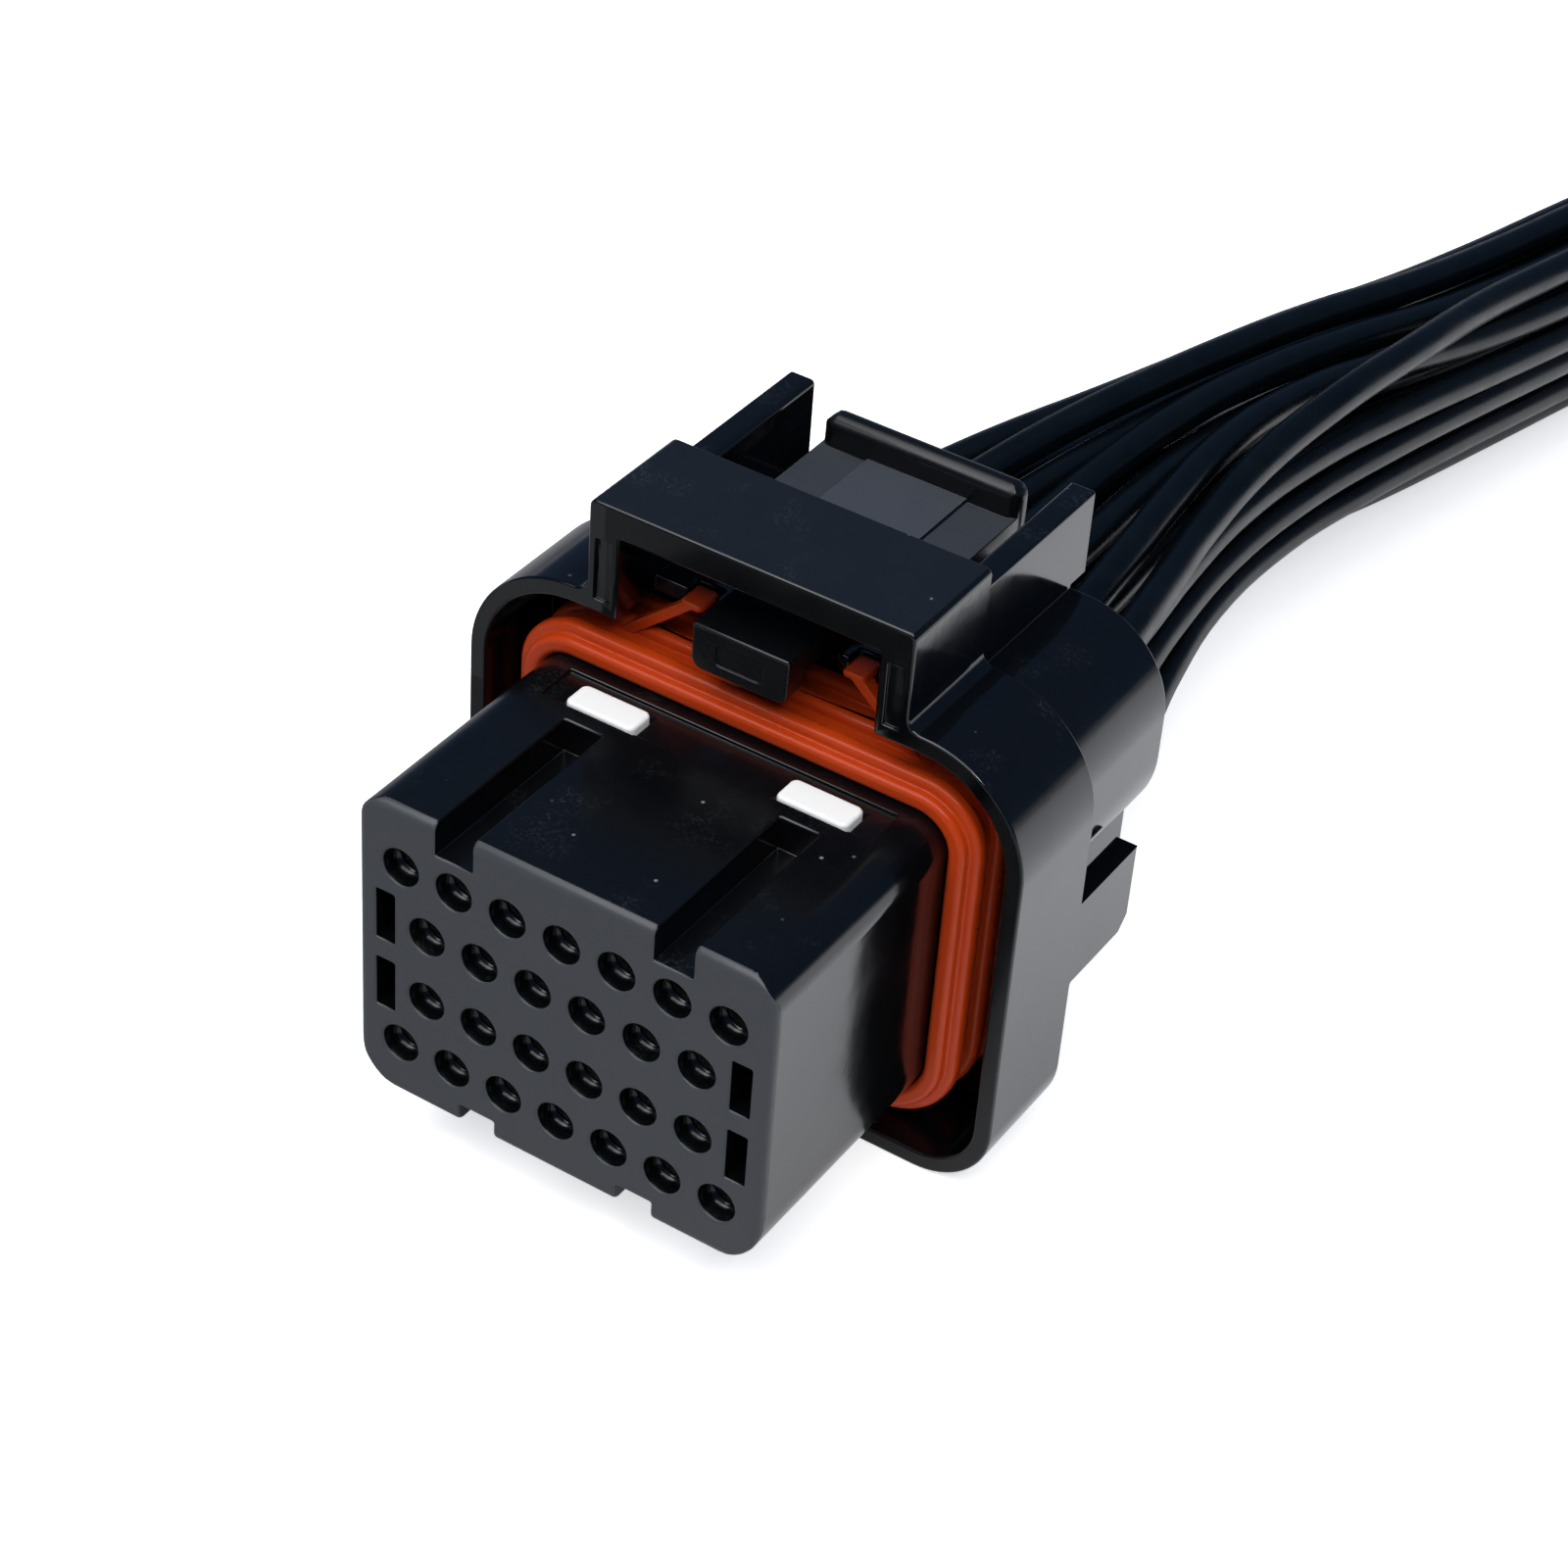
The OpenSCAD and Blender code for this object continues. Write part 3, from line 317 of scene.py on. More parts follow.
def moulded_pbt(name, code, rough_low, rough_high, grain, dusty=0.0, shine=0.5):
    """Moulded PBT, as its tool and its use have left it.

    A slow waviness from shrinkage bends what it mirrors, flow marks feather that, and its gloss changes in
    clouds. grain is the height of the tool's texture in microns, dusty is how pale the dust on it is, and
    shine is its specular level.
    """
    material, tree, bsdf, mm = new_material(
        name, Base_Color=linear(code), IOR=1.5, Specular_IOR_Level=shine)

    # Clouds of gloss about 3 mm across
    cloud = add_node(tree, "ShaderNodeTexNoise", inputs={"Scale": 0.35, "Detail": 4.0, "Roughness": 0.6},
                     links={"Vector": mm})
    rough = add_node(tree, "ShaderNodeMapRange",
                     inputs={**NOISE_SPAN, "To Min": rough_low, "To Max": rough_high},
                     links={"Value": cloud.outputs["Fac"]})
    if dusty:
        cover = dust(tree, mm)
        pale = [dusty * c for c in DUST_TINT] + [1.0]
        mix = add_node(tree, "ShaderNodeMix", {"data_type": "RGBA"},
                       {COLOUR_A: linear(code), COLOUR_B: pale}, {"Factor": cover})
        tree.links.new(mix.outputs[COLOUR_OUT], bsdf.inputs["Base Color"])
        rough = add_node(tree, "ShaderNodeMath", {"operation": "MULTIPLY_ADD"}, {1: DUST_ROUGH},
                         {0: cover, 2: rough.outputs[0]})
    tree.links.new(rough.outputs[0], bsdf.inputs["Roughness"])

    # Waves about 4.5 mm long, flow marks about 0.6 mm apart, and grain of about 0.1 mm, which is drawn
    # a few times coarser than the real one so that it shows
    wave = add_node(tree, "ShaderNodeTexNoise", inputs={"Scale": 0.22, "Detail": 1.0}, links={"Vector": mm})
    flow = add_node(tree, "ShaderNodeTexNoise", inputs={"Scale": 1.6, "Detail": 3.0}, links={"Vector": mm})
    pits = add_node(tree, "ShaderNodeTexNoise", inputs={"Scale": 9.0, "Detail": 2.0}, links={"Vector": mm})
    normal = None
    for height, noise in ((WAVE_HEIGHT, wave), (FLOW_HEIGHT, flow), (grain, pits)):
        links = {"Height": noise.outputs["Fac"]}
        if normal is not None:
            links["Normal"] = normal
        bump = add_node(tree, "ShaderNodeBump",
                        inputs={"Strength": 1.0, "Distance": height * MICRON}, links=links)
        normal = bump.outputs["Normal"]
    tree.links.new(normal, bsdf.inputs["Normal"])
    return material


def silicone(name, code):
    """Moulded silicone rubber: an orange that scatters a little light, with an oily sheen and a bloom."""
    material, tree, bsdf, mm = new_material(
        name, IOR=1.41, Specular_IOR_Level=0.32, Subsurface_Weight=0.06, Subsurface_Scale=0.6 * MM)

    # Bloom in spots of about 0.8 mm, and a grain of about 0.15 mm
    bloom = add_node(tree, "ShaderNodeTexNoise", inputs={"Scale": 1.2, "Detail": 5.0, "Roughness": 0.65},
                     links={"Vector": mm})
    base = linear(code)
    darker = [c * 0.94 for c in base[:3]] + [1.0]
    mix = add_node(tree, "ShaderNodeMix", {"data_type": "RGBA"}, {COLOUR_A: darker, COLOUR_B: base},
                   {"Factor": bloom.outputs["Fac"]})
    tree.links.new(mix.outputs[COLOUR_OUT], bsdf.inputs["Base Color"])
    rough = add_node(tree, "ShaderNodeMapRange", inputs={**NOISE_SPAN, "To Min": 0.27, "To Max": 0.33},
                     links={"Value": bloom.outputs["Fac"]})
    tree.links.new(rough.outputs[0], bsdf.inputs["Roughness"])
    grain = add_node(tree, "ShaderNodeTexNoise", inputs={"Scale": 7.0, "Detail": 3.0}, links={"Vector": mm})
    bump = add_node(tree, "ShaderNodeBump", inputs={"Strength": 1.0, "Distance": 3 * MICRON},
                    links={"Height": grain.outputs["Fac"]})
    tree.links.new(bump.outputs["Normal"], bsdf.inputs["Normal"])
    return material


def plated_sheet(name, code):
    """Tin-plated copper: bright, with fine lines along the strip or strand."""
    material, tree, bsdf, mm = new_material(name, Base_Color=linear(code), Metallic=1.0)

    # Lines about 0.05 mm wide and 0.8 mm long
    rolled = add_node(tree, "ShaderNodeMapping", inputs={"Scale": (6.0, 0.4, 6.0)}, links={"Vector": mm})
    lines = add_node(tree, "ShaderNodeTexNoise", inputs={"Scale": 3.0, "Detail": 3.0},
                     links={"Vector": rolled.outputs["Vector"]})
    rough = add_node(tree, "ShaderNodeMapRange", inputs={**NOISE_SPAN, "To Min": 0.24, "To Max": 0.42},
                     links={"Value": lines.outputs["Fac"]})
    tree.links.new(rough.outputs[0], bsdf.inputs["Roughness"])
    return material


def wire_jacket(name, code):
    """Extruded polyethylene jacket: black satin, with a fine grain from the die and clouds of gloss."""
    material, tree, bsdf, mm = new_material(
        name, Base_Color=linear(code), IOR=1.5, Specular_IOR_Level=0.3)

    # Clouds about 2 mm long, and a grain of 0.2 mm, coarser than the real one so that it shows
    cloud = add_node(tree, "ShaderNodeTexNoise", inputs={"Scale": 0.5, "Detail": 4.0}, links={"Vector": mm})
    rough = add_node(tree, "ShaderNodeMapRange", inputs={**NOISE_SPAN, "To Min": 0.24, "To Max": 0.36},
                     links={"Value": cloud.outputs["Fac"]})
    tree.links.new(rough.outputs[0], bsdf.inputs["Roughness"])
    grain = add_node(tree, "ShaderNodeTexNoise", inputs={"Scale": 5.0, "Detail": 2.0}, links={"Vector": mm})
    bump = add_node(tree, "ShaderNodeBump", inputs={"Strength": 1.0, "Distance": 6 * MICRON},
                    links={"Height": grain.outputs["Fac"]})
    tree.links.new(bump.outputs["Normal"], bsdf.inputs["Normal"])
    return material


def make_materials(colours):
    """All the plug's materials, by finish."""
    black = colours.black
    return {
        # Polished tool: a deep black that mirrors the room, with dust on top
        "gloss": moulded_pbt("PBT, moulded gloss", black, 0.08, 0.15, 0.6, dusty=0.2),
        # The same, rubbed on its front faces: the mirror is dim and blurred
        "dull": moulded_pbt("PBT, moulded, dulled by use", black, 0.16, 0.26, 1.2, shine=0.28),
        # Top of the nose: a half gloss that mirrors the room blurred
        "nose": moulded_pbt("PBT, moulded half gloss", black, 0.17, 0.26, 0.8, dusty=0.2),
        # Top of the bridge: painted a lighter grey for its brighter reflection, a painted highlight, with
        # dust on top as elsewhere
        "worn": moulded_pbt("PBT, gloss with a painted lighter top", colours.worn, 0.2, 0.3, 1.2, dusty=0.2),
        # Front of the nose: an even satin from a spark-eroded tool; its dark grey is painted light, lighter
        # than the black for the light that the forward faces catch
        "eroded": moulded_pbt("PBT, spark-eroded satin", colours.eroded, 0.4, 0.5, 4),
        # Lever: satin black, with a broad highlight on the press bar
        "satin": moulded_pbt("PBT, moulded satin", black, 0.24, 0.34, 0.8),
        "handled": moulded_pbt(
            "PBT, satin rubbed by thumbs", black, 0.24, 0.32, 0.8, dusty=0.12, shine=0.4),
        # Thumb pad and its tile: matt grey, the tile a little lighter
        "etched": moulded_pbt("PBT, etched matt", colours.etched, 0.5, 0.62, 8, dusty=0.12),
        "tile": moulded_pbt("PBT, finely etched matt", colours.tile, 0.48, 0.6, 6, dusty=0.12),
        "silicone": silicone("Silicone rubber, moulded", colours.orange),
        # Lock plate: plain white with a faint sheen
        "white": moulded_pbt("PBT, white moulded", colours.white, 0.34, 0.44, 2),
        "tin": plated_sheet("Copper alloy, tin-plated", colours.tin),
        "jacket": wire_jacket("Polyethylene wire jacket", colours.jacket),
    }


# Meshes


def new_object(name, data):
    """A new object in the scene."""
    obj = bpy.data.objects.new(name, data)
    bpy.context.scene.collection.objects.link(obj)
    return obj


def plain_mesh(draft, name):
    """The mesh that a draft's modifiers give. The draft itself is removed."""
    source = draft.data
    made = bpy.data.meshes.new_from_object(draft.evaluated_get(bpy.context.evaluated_depsgraph_get()))
    bpy.data.objects.remove(draft)
    bpy.data.meshes.remove(source)
    made.name = name
    return made


def finish_piece(obj, slot, *nodes, body="plug"):
    """Sets a finished piece on its body, in place of its solids where it has any."""
    if nodes:
        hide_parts(*nodes)
    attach(obj, body)


def edges_ahead(edge):
    """The edges at an edge's ends: (edge, its length, how far it goes straight on, from -1 to 1)."""
    for vert in edge.verts:
        ahead = (vert.co - edge.other_vert(vert).co).normalized()
        for other in vert.link_edges:
            way = other.other_vert(vert).co - vert.co
            if other is not edge and way.length > 0:
                yield other, way.length, way.normalized().dot(ahead)


def edge_runs(edges):
    """Runs of edges that follow one another smoothly, so that each run is rounded alike."""
    left = set(edges)
    while left:
        run = [left.pop()]
        for edge in run:
            for other, _, straight in edges_ahead(edge):
                if other in left and straight > SMOOTH:
                    left.discard(other)
                    run.append(other)
        yield run


def edge_radii(bm, radius, wide, share):
    """The radius of each sharp edge, as its whole run has room for it."""
    radii = {}
    sharp = [e for e in bm.edges if len(e.link_faces) == 2 and e.calc_face_angle(0.0) > SHARP]
    for run in edge_runs(sharp):
        wanted = min(wide((e.verts[0].co + e.verts[1].co) / 2) for e in run) if wide else radius
        room = min(length for e in run for _, length, straight in edges_ahead(e) if straight <= SMOOTH)
        for edge in run:
            radii[edge] = min(wanted, share * room) * (1.0 if edge.is_convex else HOLLOW)
    return radii


def part_faces(bm, planes):
    """Parts the faces along planes, given as (axis, place), so that no face runs around a hole."""
    for axis, place in planes:
        way = Vector((0.0, 0.0, 0.0))
        way[axis] = 1.0
        cut = bmesh.ops.bisect_plane(bm, geom=[*bm.verts, *bm.edges, *bm.faces], dist=ON_PLANE,
                                     plane_co=way * place, plane_no=way)
        for part in cut["geom_cut"]:
            if isinstance(part, bmesh.types.BMEdge):
                part.seam = True
    bmesh.ops.remove_doubles(bm, verts=bm.verts, dist=MERGE_PARTED)


def rounded_copy(node, name, radius, finishes, pick=None, wide=None, cuts=(), segments=3, share=0.42,
                 shape=None):
    """A copy of a solid's mesh with its sharp edges rounded.

    pick says which of the finishes a face takes, and wide gives the radius at a place where it isn't the
    usual one. cuts are planes that part large faces, beside those through the rows of contacts. A rounding
    has so many segments, and may take a share of the shortest edge beside its run. shape moves a point of
    the rounded mesh.
    """
    bm = bmesh.new()
    bm.from_mesh(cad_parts[node].data)
    bmesh.ops.remove_doubles(bm, verts=bm.verts, dist=MERGE)
    part_faces(bm, [(0, 0.0), (2, MIDDLE_Z), *((2, MIDDLE_Z + z) for z in ROW_Z), *cuts])
    bmesh.ops.dissolve_limit(bm, angle_limit=FLAT, verts=bm.verts, edges=bm.edges, delimit={"SEAM"})
    bm.normal_update()
    weight = bm.edges.layers.float.new("bevel_weight_edge")
    radii = edge_radii(bm, radius, wide, share)
    widest = max(radii.values())
    for edge, size in radii.items():
        edge[weight] = size / widest
    mesh = bpy.data.meshes.new(name)
    bm.to_mesh(mesh)
    bm.free()

    draft = new_object(name + "_draft", mesh)
    bevel = draft.modifiers.new("edges", "BEVEL")
    bevel.limit_method = "WEIGHT"
    bevel.width = widest
    bevel.segments = segments
    bevel.use_clamp_overlap = False
    bevel.miter_outer = "MITER_ARC"
    made = plain_mesh(draft, name)

    made.materials.clear()
    for finish in finishes:
        made.materials.append(MATERIALS[finish])
    if shape:
        for vert in made.vertices:
            vert.co = shape(vert.co)
    for face in made.polygons:
        face.use_smooth = True
        face.material_index = finishes.index(pick(face)) if pick else 0
    made.set_sharp_from_angle(angle=CREASE)
    obj = new_object(name, made)
    normals = obj.modifiers.new("normals", "WEIGHTED_NORMAL")
    normals.keep_sharp = True
    return obj


def ease(t):
    """Smooth step from 0 to 1."""
    t = min(max(t, 0.0), 1.0)
    return t * t * (3 - 2 * t)


def contact_places(pitch):
    """(x, height, row, place in the row) of every contact, rows from the top."""
    return [((k - (count - 1) / 2) * pitch, ROW_Z[row], row, k)
            for row, count in enumerate(ROW_COUNTS) for k in range(count)]


def bundle_place(contact):
    """Place of a wire in the round bundle, from its contact."""
    x, z, row, k = contact
    outer = row in (0, len(ROW_COUNTS) - 1)
    squeeze, height, zigzag = OUTER_ROW if outer else INNER_ROW
    up = 1 if z > 0 else -1
    zig = (zigzag if k % 2 else -zigzag) * (up if outer else 1)
    return Vector((x * squeeze, (up * height + zig) * MM))


def climbed_place(contact, contacts, behind):
    """Place of a wire in the bundle at a distance behind the cover. A row's last wire climbs one place."""
    place = bundle_place(contact)
    row, k = contact[2:]
    if k < ROW_COUNTS[row] - 1:
        return place
    above = [c for c in contacts if c[2] == row - 1]
    way = (bundle_place(above[-1]) if above else Vector(CLIMB_TOP)) - place
    part = ease((behind - CLIMB_FROM) / (CLIMB_TO - CLIMB_FROM))
    bow = 4 * part * (1 - part) * (BOW_OTHERS if above else BOW_TOP)
    return place + part * way + bow * Vector((way.y, -way.x)).normalized()


def wire_points(contact, contacts, start_y, cover_y):
    """Points that a lead follows from its crimp to its cut end."""
    x, z = contact[:2]
    points = [Vector((x, start_y, MIDDLE_Z + z))]
    for right, behind, above in WIRE_ROUTE:
        closed = ease((behind - GATHER_FROM) / (GATHER_TO - GATHER_FROM))
        turn = BUNDLE_TURN * ease((behind - GATHER_FROM) / (TURN_TO - GATHER_FROM))
        at_x, at_z = climbed_place(contact, contacts, behind)
        dx = x + (at_x - x) * closed
        dz = z + (at_z - z) * closed
        points.append(Vector((
            right * MM + dx * math.cos(turn) - dz * math.sin(turn),
            cover_y + behind * MM,
            MIDDLE_Z + above * MM + dx * math.sin(turn) + dz * math.cos(turn))))
    return points


def strand_tree():
    """Geometry Nodes that set a strand of uneven length on every point, and their inputs by name."""
    tree = bpy.data.node_groups.new("Cut strands", "GeometryNodeTree")
    kinds = {"Points": "Geometry", "Diameter": "Float", "Length": "Float", "Turn": "Vector", "Seed": "Int",
             "Finish": "Material"}
    inputs = {}
    for name, kind in kinds.items():
        socket = tree.interface.new_socket(name, in_out="INPUT", socket_type="NodeSocket" + kind)
        inputs[name] = socket.identifier
    tree.interface.new_socket("Strands", in_out="OUTPUT", socket_type="NodeSocketGeometry")
    given = add_node(tree, "NodeGroupInput").outputs
    radius = add_node(tree, "ShaderNodeMath", {"operation": "MULTIPLY"}, {1: 0.5}, {0: given["Diameter"]})
    strand = add_node(tree, "GeometryNodeMeshCylinder", inputs={"Vertices": STRAND_SIDES},
                      links={"Radius": radius.outputs[0], "Depth": given["Length"]})
    uneven = add_node(tree, "FunctionNodeRandomValue", {"data_type": "FLOAT_VECTOR"},
                      {0: STRAND_SHORTEST, 1: STRAND_LONGEST}, {"Seed": given["Seed"]})
    placed = add_node(tree, "GeometryNodeInstanceOnPoints", links={
        "Points": given["Points"], "Instance": strand.outputs["Mesh"], "Rotation": given["Turn"],
        "Scale": uneven.outputs[0]})
    real = add_node(tree, "GeometryNodeRealizeInstances", links={0: placed.outputs[0]})
    painted = add_node(tree, "GeometryNodeSetMaterial",
                       links={0: real.outputs[0], "Material": given["Finish"]})
    add_node(tree, "NodeGroupOutput", links={0: painted.outputs[0]})
    return tree, inputs


# Stage


def add_camera(scene):
    """The camera that sees the plug as the photo does."""
    camera = new_object("camera", bpy.data.cameras.new("camera"))
    camera.data.sensor_width = SENSOR_WIDTH
    camera.data.lens = LENS
    camera.data.clip_start = CLIP_START
    turn = Matrix((CAMERA_RIGHT, CAMERA_UP, CAMERA_BACK)).transposed().to_4x4()
    camera.matrix_world = Matrix.Translation(CAMERA_AT) @ turn
    scene.camera = camera


def painted_shade_paper(stage):
    """White paper on a light table.

    It is plain white to look at, but the plug mirrors it and takes light from it with painted light and
    shade:
    a tone and glow that are dim on the left and in front, a painted shadow of the plug, and bright on the
    right.
    """
    paper, tree, bsdf, mm = new_material(
        "White paper, glowing, with painted light and shade", Roughness=0.9, Emission_Color=linear("#ffffff"))
    seen = add_node(tree, "ShaderNodeLightPath").outputs["Is Camera Ray"]
    spot = add_node(tree, "ShaderNodeSeparateXYZ", links={0: mm}).outputs
    # Painted shadow and light: away from the camera, the tone and glow grow from dim on the left and in
    # front to bright on the right
    right = add_node(tree, "ShaderNodeMapRange", inputs={"From Min": BRIGHT_X[0], "From Max": BRIGHT_X[1]},
                     links={"Value": spot["X"]})
    beside = add_node(tree, "ShaderNodeMapRange",
                      inputs={"From Min": BRIGHT_Y[0], "From Max": BRIGHT_Y[1], "To Min": FRONT_SHARE},
                      links={"Value": spot["Y"]})
    bright = add_node(tree, "ShaderNodeMath", {"operation": "MULTIPLY"},
                      links={0: beside.outputs[0], 1: right.outputs[0]}).outputs[0]
    tone = add_node(tree, "ShaderNodeMix", {"data_type": "RGBA"},
                    {COLOUR_A: linear(PAPER_PAINTED_SHADE), COLOUR_B: linear(PAPER)}, {"Factor": bright})
    base = add_node(tree, "ShaderNodeMix", {"data_type": "RGBA"}, {COLOUR_B: linear(PAPER)},
                    {"Factor": seen, COLOUR_A: tone.outputs[COLOUR_OUT]})
    mirrored = add_node(tree, "ShaderNodeMapRange", inputs={"To Max": stage.painted_glow_right},
                        links={"Value": bright})
    glow = add_node(tree, "ShaderNodeMix", inputs={NUMBER_B: stage.glow},
                    links={"Factor": seen, NUMBER_A: mirrored.outputs[0]})
    tree.links.new(base.outputs[COLOUR_OUT], bsdf.inputs["Base Color"])
    tree.links.new(glow.outputs[NUMBER_OUT], bsdf.inputs["Emission Strength"])
    return paper


def add_floor(stage):
    """The light table's top."""
    half = TABLE_HALF
    corners = [(-half, -half, 0), (half, -half, 0), (half, half, 0), (-half, half, 0)]
    mesh = bpy.data.meshes.new("floor")
    mesh.from_pydata(corners, [], [(0, 1, 2, 3)])
    mesh.materials.append(painted_shade_paper(stage))
    floor = new_object("floor", mesh)


def add_light(name, at, size, power):
    """A square light that points at the plug."""
    light = bpy.data.lights.new(name, "AREA")
    light.size = size
    light.energy = power
    obj = new_object(name, light)
    obj.location = at
    obj.rotation_euler = (LIT_SPOT - Vector(at)).to_track_quat("-Z", "Y").to_euler()


def add_room(scene):
    """The room around: pale at the horizon, and a dark blue above."""
    world = bpy.data.worlds.new("studio")
    scene.world = world
    world.use_nodes = True
    tree = world.node_tree
    place = add_node(tree, "ShaderNodeTexCoord")
    height = add_node(tree, "ShaderNodeSeparateXYZ", links={0: place.outputs["Generated"]})
    ramp = add_node(tree, "ShaderNodeValToRGB", links={0: height.outputs["Z"]})
    low, high = ramp.color_ramp.elements
    low.position = 0.0
    low.color = HORIZON
    high.position = FADE_TO
    high.color = OVERHEAD
    tree.links.new(ramp.outputs["Color"], tree.nodes["Background"].inputs["Color"])


# Operators


class PLUG_OT_housing(bpy.types.Operator):
    """Make the outer moulding: shroud, bridge, guards, hood and lugs"""

    bl_idname = "plug.housing"
    bl_label = "Housing"

    def execute(self, context):
        sizes = context.scene.plug_sizes
        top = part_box("housing")[1].z
        bridge_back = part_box("contact_block")[0].y + BRIDGE_BACK

        def wide(at):
            if abs(at.y - bridge_back) < NEAR and abs(at.z - top) < NEAR:
                return sizes.bridge_edge
            if abs(abs(at.x) - GUARD_IN) < NEAR and abs(at.z - GUARD_TOP) < NEAR:
                return sizes.guard_edge
            return sizes.housing_edge

        def pick(face):
            at = face.center
            # The bridge's top faces take a lighter grey, painted highlight
            if face.normal.z > BRIDGE_UP and at.z > top - BRIDGE_BAND:
                return "worn"
            pillar = abs(at.x) > GUARD_X and at.z > PILLAR_FROM
            return "dull" if face.normal.y < -SHROUD_FORWARD and not pillar else "gloss"

        cuts = [(0, -GUARD_X), (0, GUARD_X), (1, PIVOT_Y), (2, PIVOT_Z), (2, OVER_PIVOT_Z)]
        obj = rounded_copy("housing", "housing_look", sizes.housing_edge, ("gloss", "worn", "dull"), pick,
                           wide=wide, cuts=cuts)
        finish_piece(obj, "black_pbt", "housing")
        return {"FINISHED"}


class PLUG_OT_contact_block(bpy.types.Operator):
    """Make the inner moulding: nose with its pin holes, and the sleeve behind it"""

    bl_idname = "plug.contact_block"
    bl_label = "Contact block"

    def execute(self, context):
        sizes = context.scene.plug_sizes
        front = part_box("contact_block")[0].y
        contacts = contact_places(sizes.pitch)

        def counterbore(at):
            """Lead-ins go straight down to the thin wall in front of the terminals."""
            depth = at.y - front
            if RING_FROM < depth < RING_TO:
                for x, z, *_ in contacts:
                    out = Vector((at.x - x, at.z - MIDDLE_Z - z))
                    if out.length < COUNTERBORE_R:
                        out = COUNTERBORE_R * out.normalized()
                        deep = front + depth / LEAD_IN * COUNTERBORE_DEPTH
                        return Vector((x + out.x, deep, MIDDLE_Z + z + out.y))
            return at

        def pick(face):
            # Forward faces at the front take the satin with a grey of painted light
            if face.normal.y < -NOSE_FORWARD and face.center.y < front + NOSE_BAND:
                return "eroded"
            return "nose" if face.normal.z > NOSE_UP else "gloss"

        obj = rounded_copy("contact_block", "contact_block_look", sizes.housing_edge,
                           ("gloss", "eroded", "nose"), pick, shape=counterbore)
        finish_piece(obj, "black_pbt", "contact_block")
        return {"FINISHED"}


class PLUG_OT_lever(bpy.types.Operator):
    """Make the rocking latch lever"""

    bl_idname = "plug.lever"
    bl_label = "Latch lever"

    def execute(self, context):
        sizes = context.scene.plug_sizes
        back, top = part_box("latch_lever")[1].yz
        round_r = BAR_T / 2
        ball = Vector((BAR_W / 2 - round_r, back - round_r, top - round_r))

        def ball_end(at):
            """The bar's upper ends are quarter balls."""
            out = Vector((abs(at.x), at.y, at.z)) - ball
            if out.x <= 0 or out.z <= 0 or out.y < -BAR_T:
                return at
            out = ball + round_r * out.normalized()
            return Vector((math.copysign(out.x, at.x), out.y, out.z))

        def pick(face):
            at = face.center
            if face.normal.z > PAD_UP and at.y > PAD_FROM and at.z < top - PAD_BELOW:
                return "tile" if at.z > TILE_FROM else "etched"
            return "handled" if at.y > ball.y - BAR_T and at.z > TILE_FROM else "satin"

        obj = rounded_copy("latch_lever", "latch_lever_look", sizes.lever_edge,
                           ("satin", "etched", "tile", "handled"), pick,
                           cuts=[(1, PIVOT_Y), (2, PIVOT_Z), (0, -ball.x), (0, ball.x)], shape=ball_end)
        finish_piece(obj, "black_pbt", "latch_lever", body="lever")
        return {"FINISHED"}


class PLUG_OT_rear_cover(bpy.types.Operator):
    """Make the rear cover that holds the wire seal"""

    bl_idname = "plug.rear_cover"
    bl_label = "Rear cover"

    def execute(self, context):
        sizes = context.scene.plug_sizes
        obj = rounded_copy("rear_cover", "rear_cover_look", sizes.housing_edge, ("gloss",))
        finish_piece(obj, "black_pbt", "rear_cover")
        return {"FINISHED"}


class PLUG_OT_wire_seal(bpy.types.Operator):
    """Make the mat that seals the wires"""

    bl_idname = "plug.wire_seal"
    bl_label = "Wire seal"

    def execute(self, context):
        sizes = context.scene.plug_sizes
        obj = rounded_copy("wire_seal", "wire_seal_look", sizes.housing_edge, ("silicone",), segments=2)
        finish_piece(obj, "orange_silicone", "wire_seal")
        return {"FINISHED"}


class PLUG_OT_interface_seal(bpy.types.Operator):
    """Make the ring seal with its round lips"""

    bl_idname = "plug.interface_seal"
    bl_label = "Interface seal"

    def execute(self, context):
        sizes = context.scene.plug_sizes
        cuts = [(0, -SEAL_CORNER_X), (0, SEAL_CORNER_X), (2, SEAL_CORNER_Z)]
        obj = rounded_copy("interface_seal", "interface_seal_look", sizes.seal_edge, ("silicone",),
                           cuts=cuts, segments=5, share=0.6)
        finish_piece(obj, "orange_silicone", "interface_seal")
        return {"FINISHED"}


class PLUG_OT_lock(bpy.types.Operator):
    """Make the white lock plate"""

    bl_idname = "plug.lock"
    bl_label = "Lock plate"

    def execute(self, context):
        sizes = context.scene.plug_sizes
        obj = rounded_copy("lock_plate", "lock_plate_look", sizes.lock_edge, ("white",), segments=4)
        finish_piece(obj, "white_pbt", "lock_plate", body="lock")
        return {"FINISHED"}


class PLUG_OT_terminals(bpy.types.Operator):
    """Finish the terminals"""

    bl_idname = "plug.terminals"
    bl_label = "Terminals"

    def execute(self, context):
        for index in range(sum(ROW_COUNTS)):
            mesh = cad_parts[f"terminal_{index + 1:02d}"].data
            mesh.materials.clear()
            mesh.materials.append(MATERIALS["tin"])
        return {"FINISHED"}


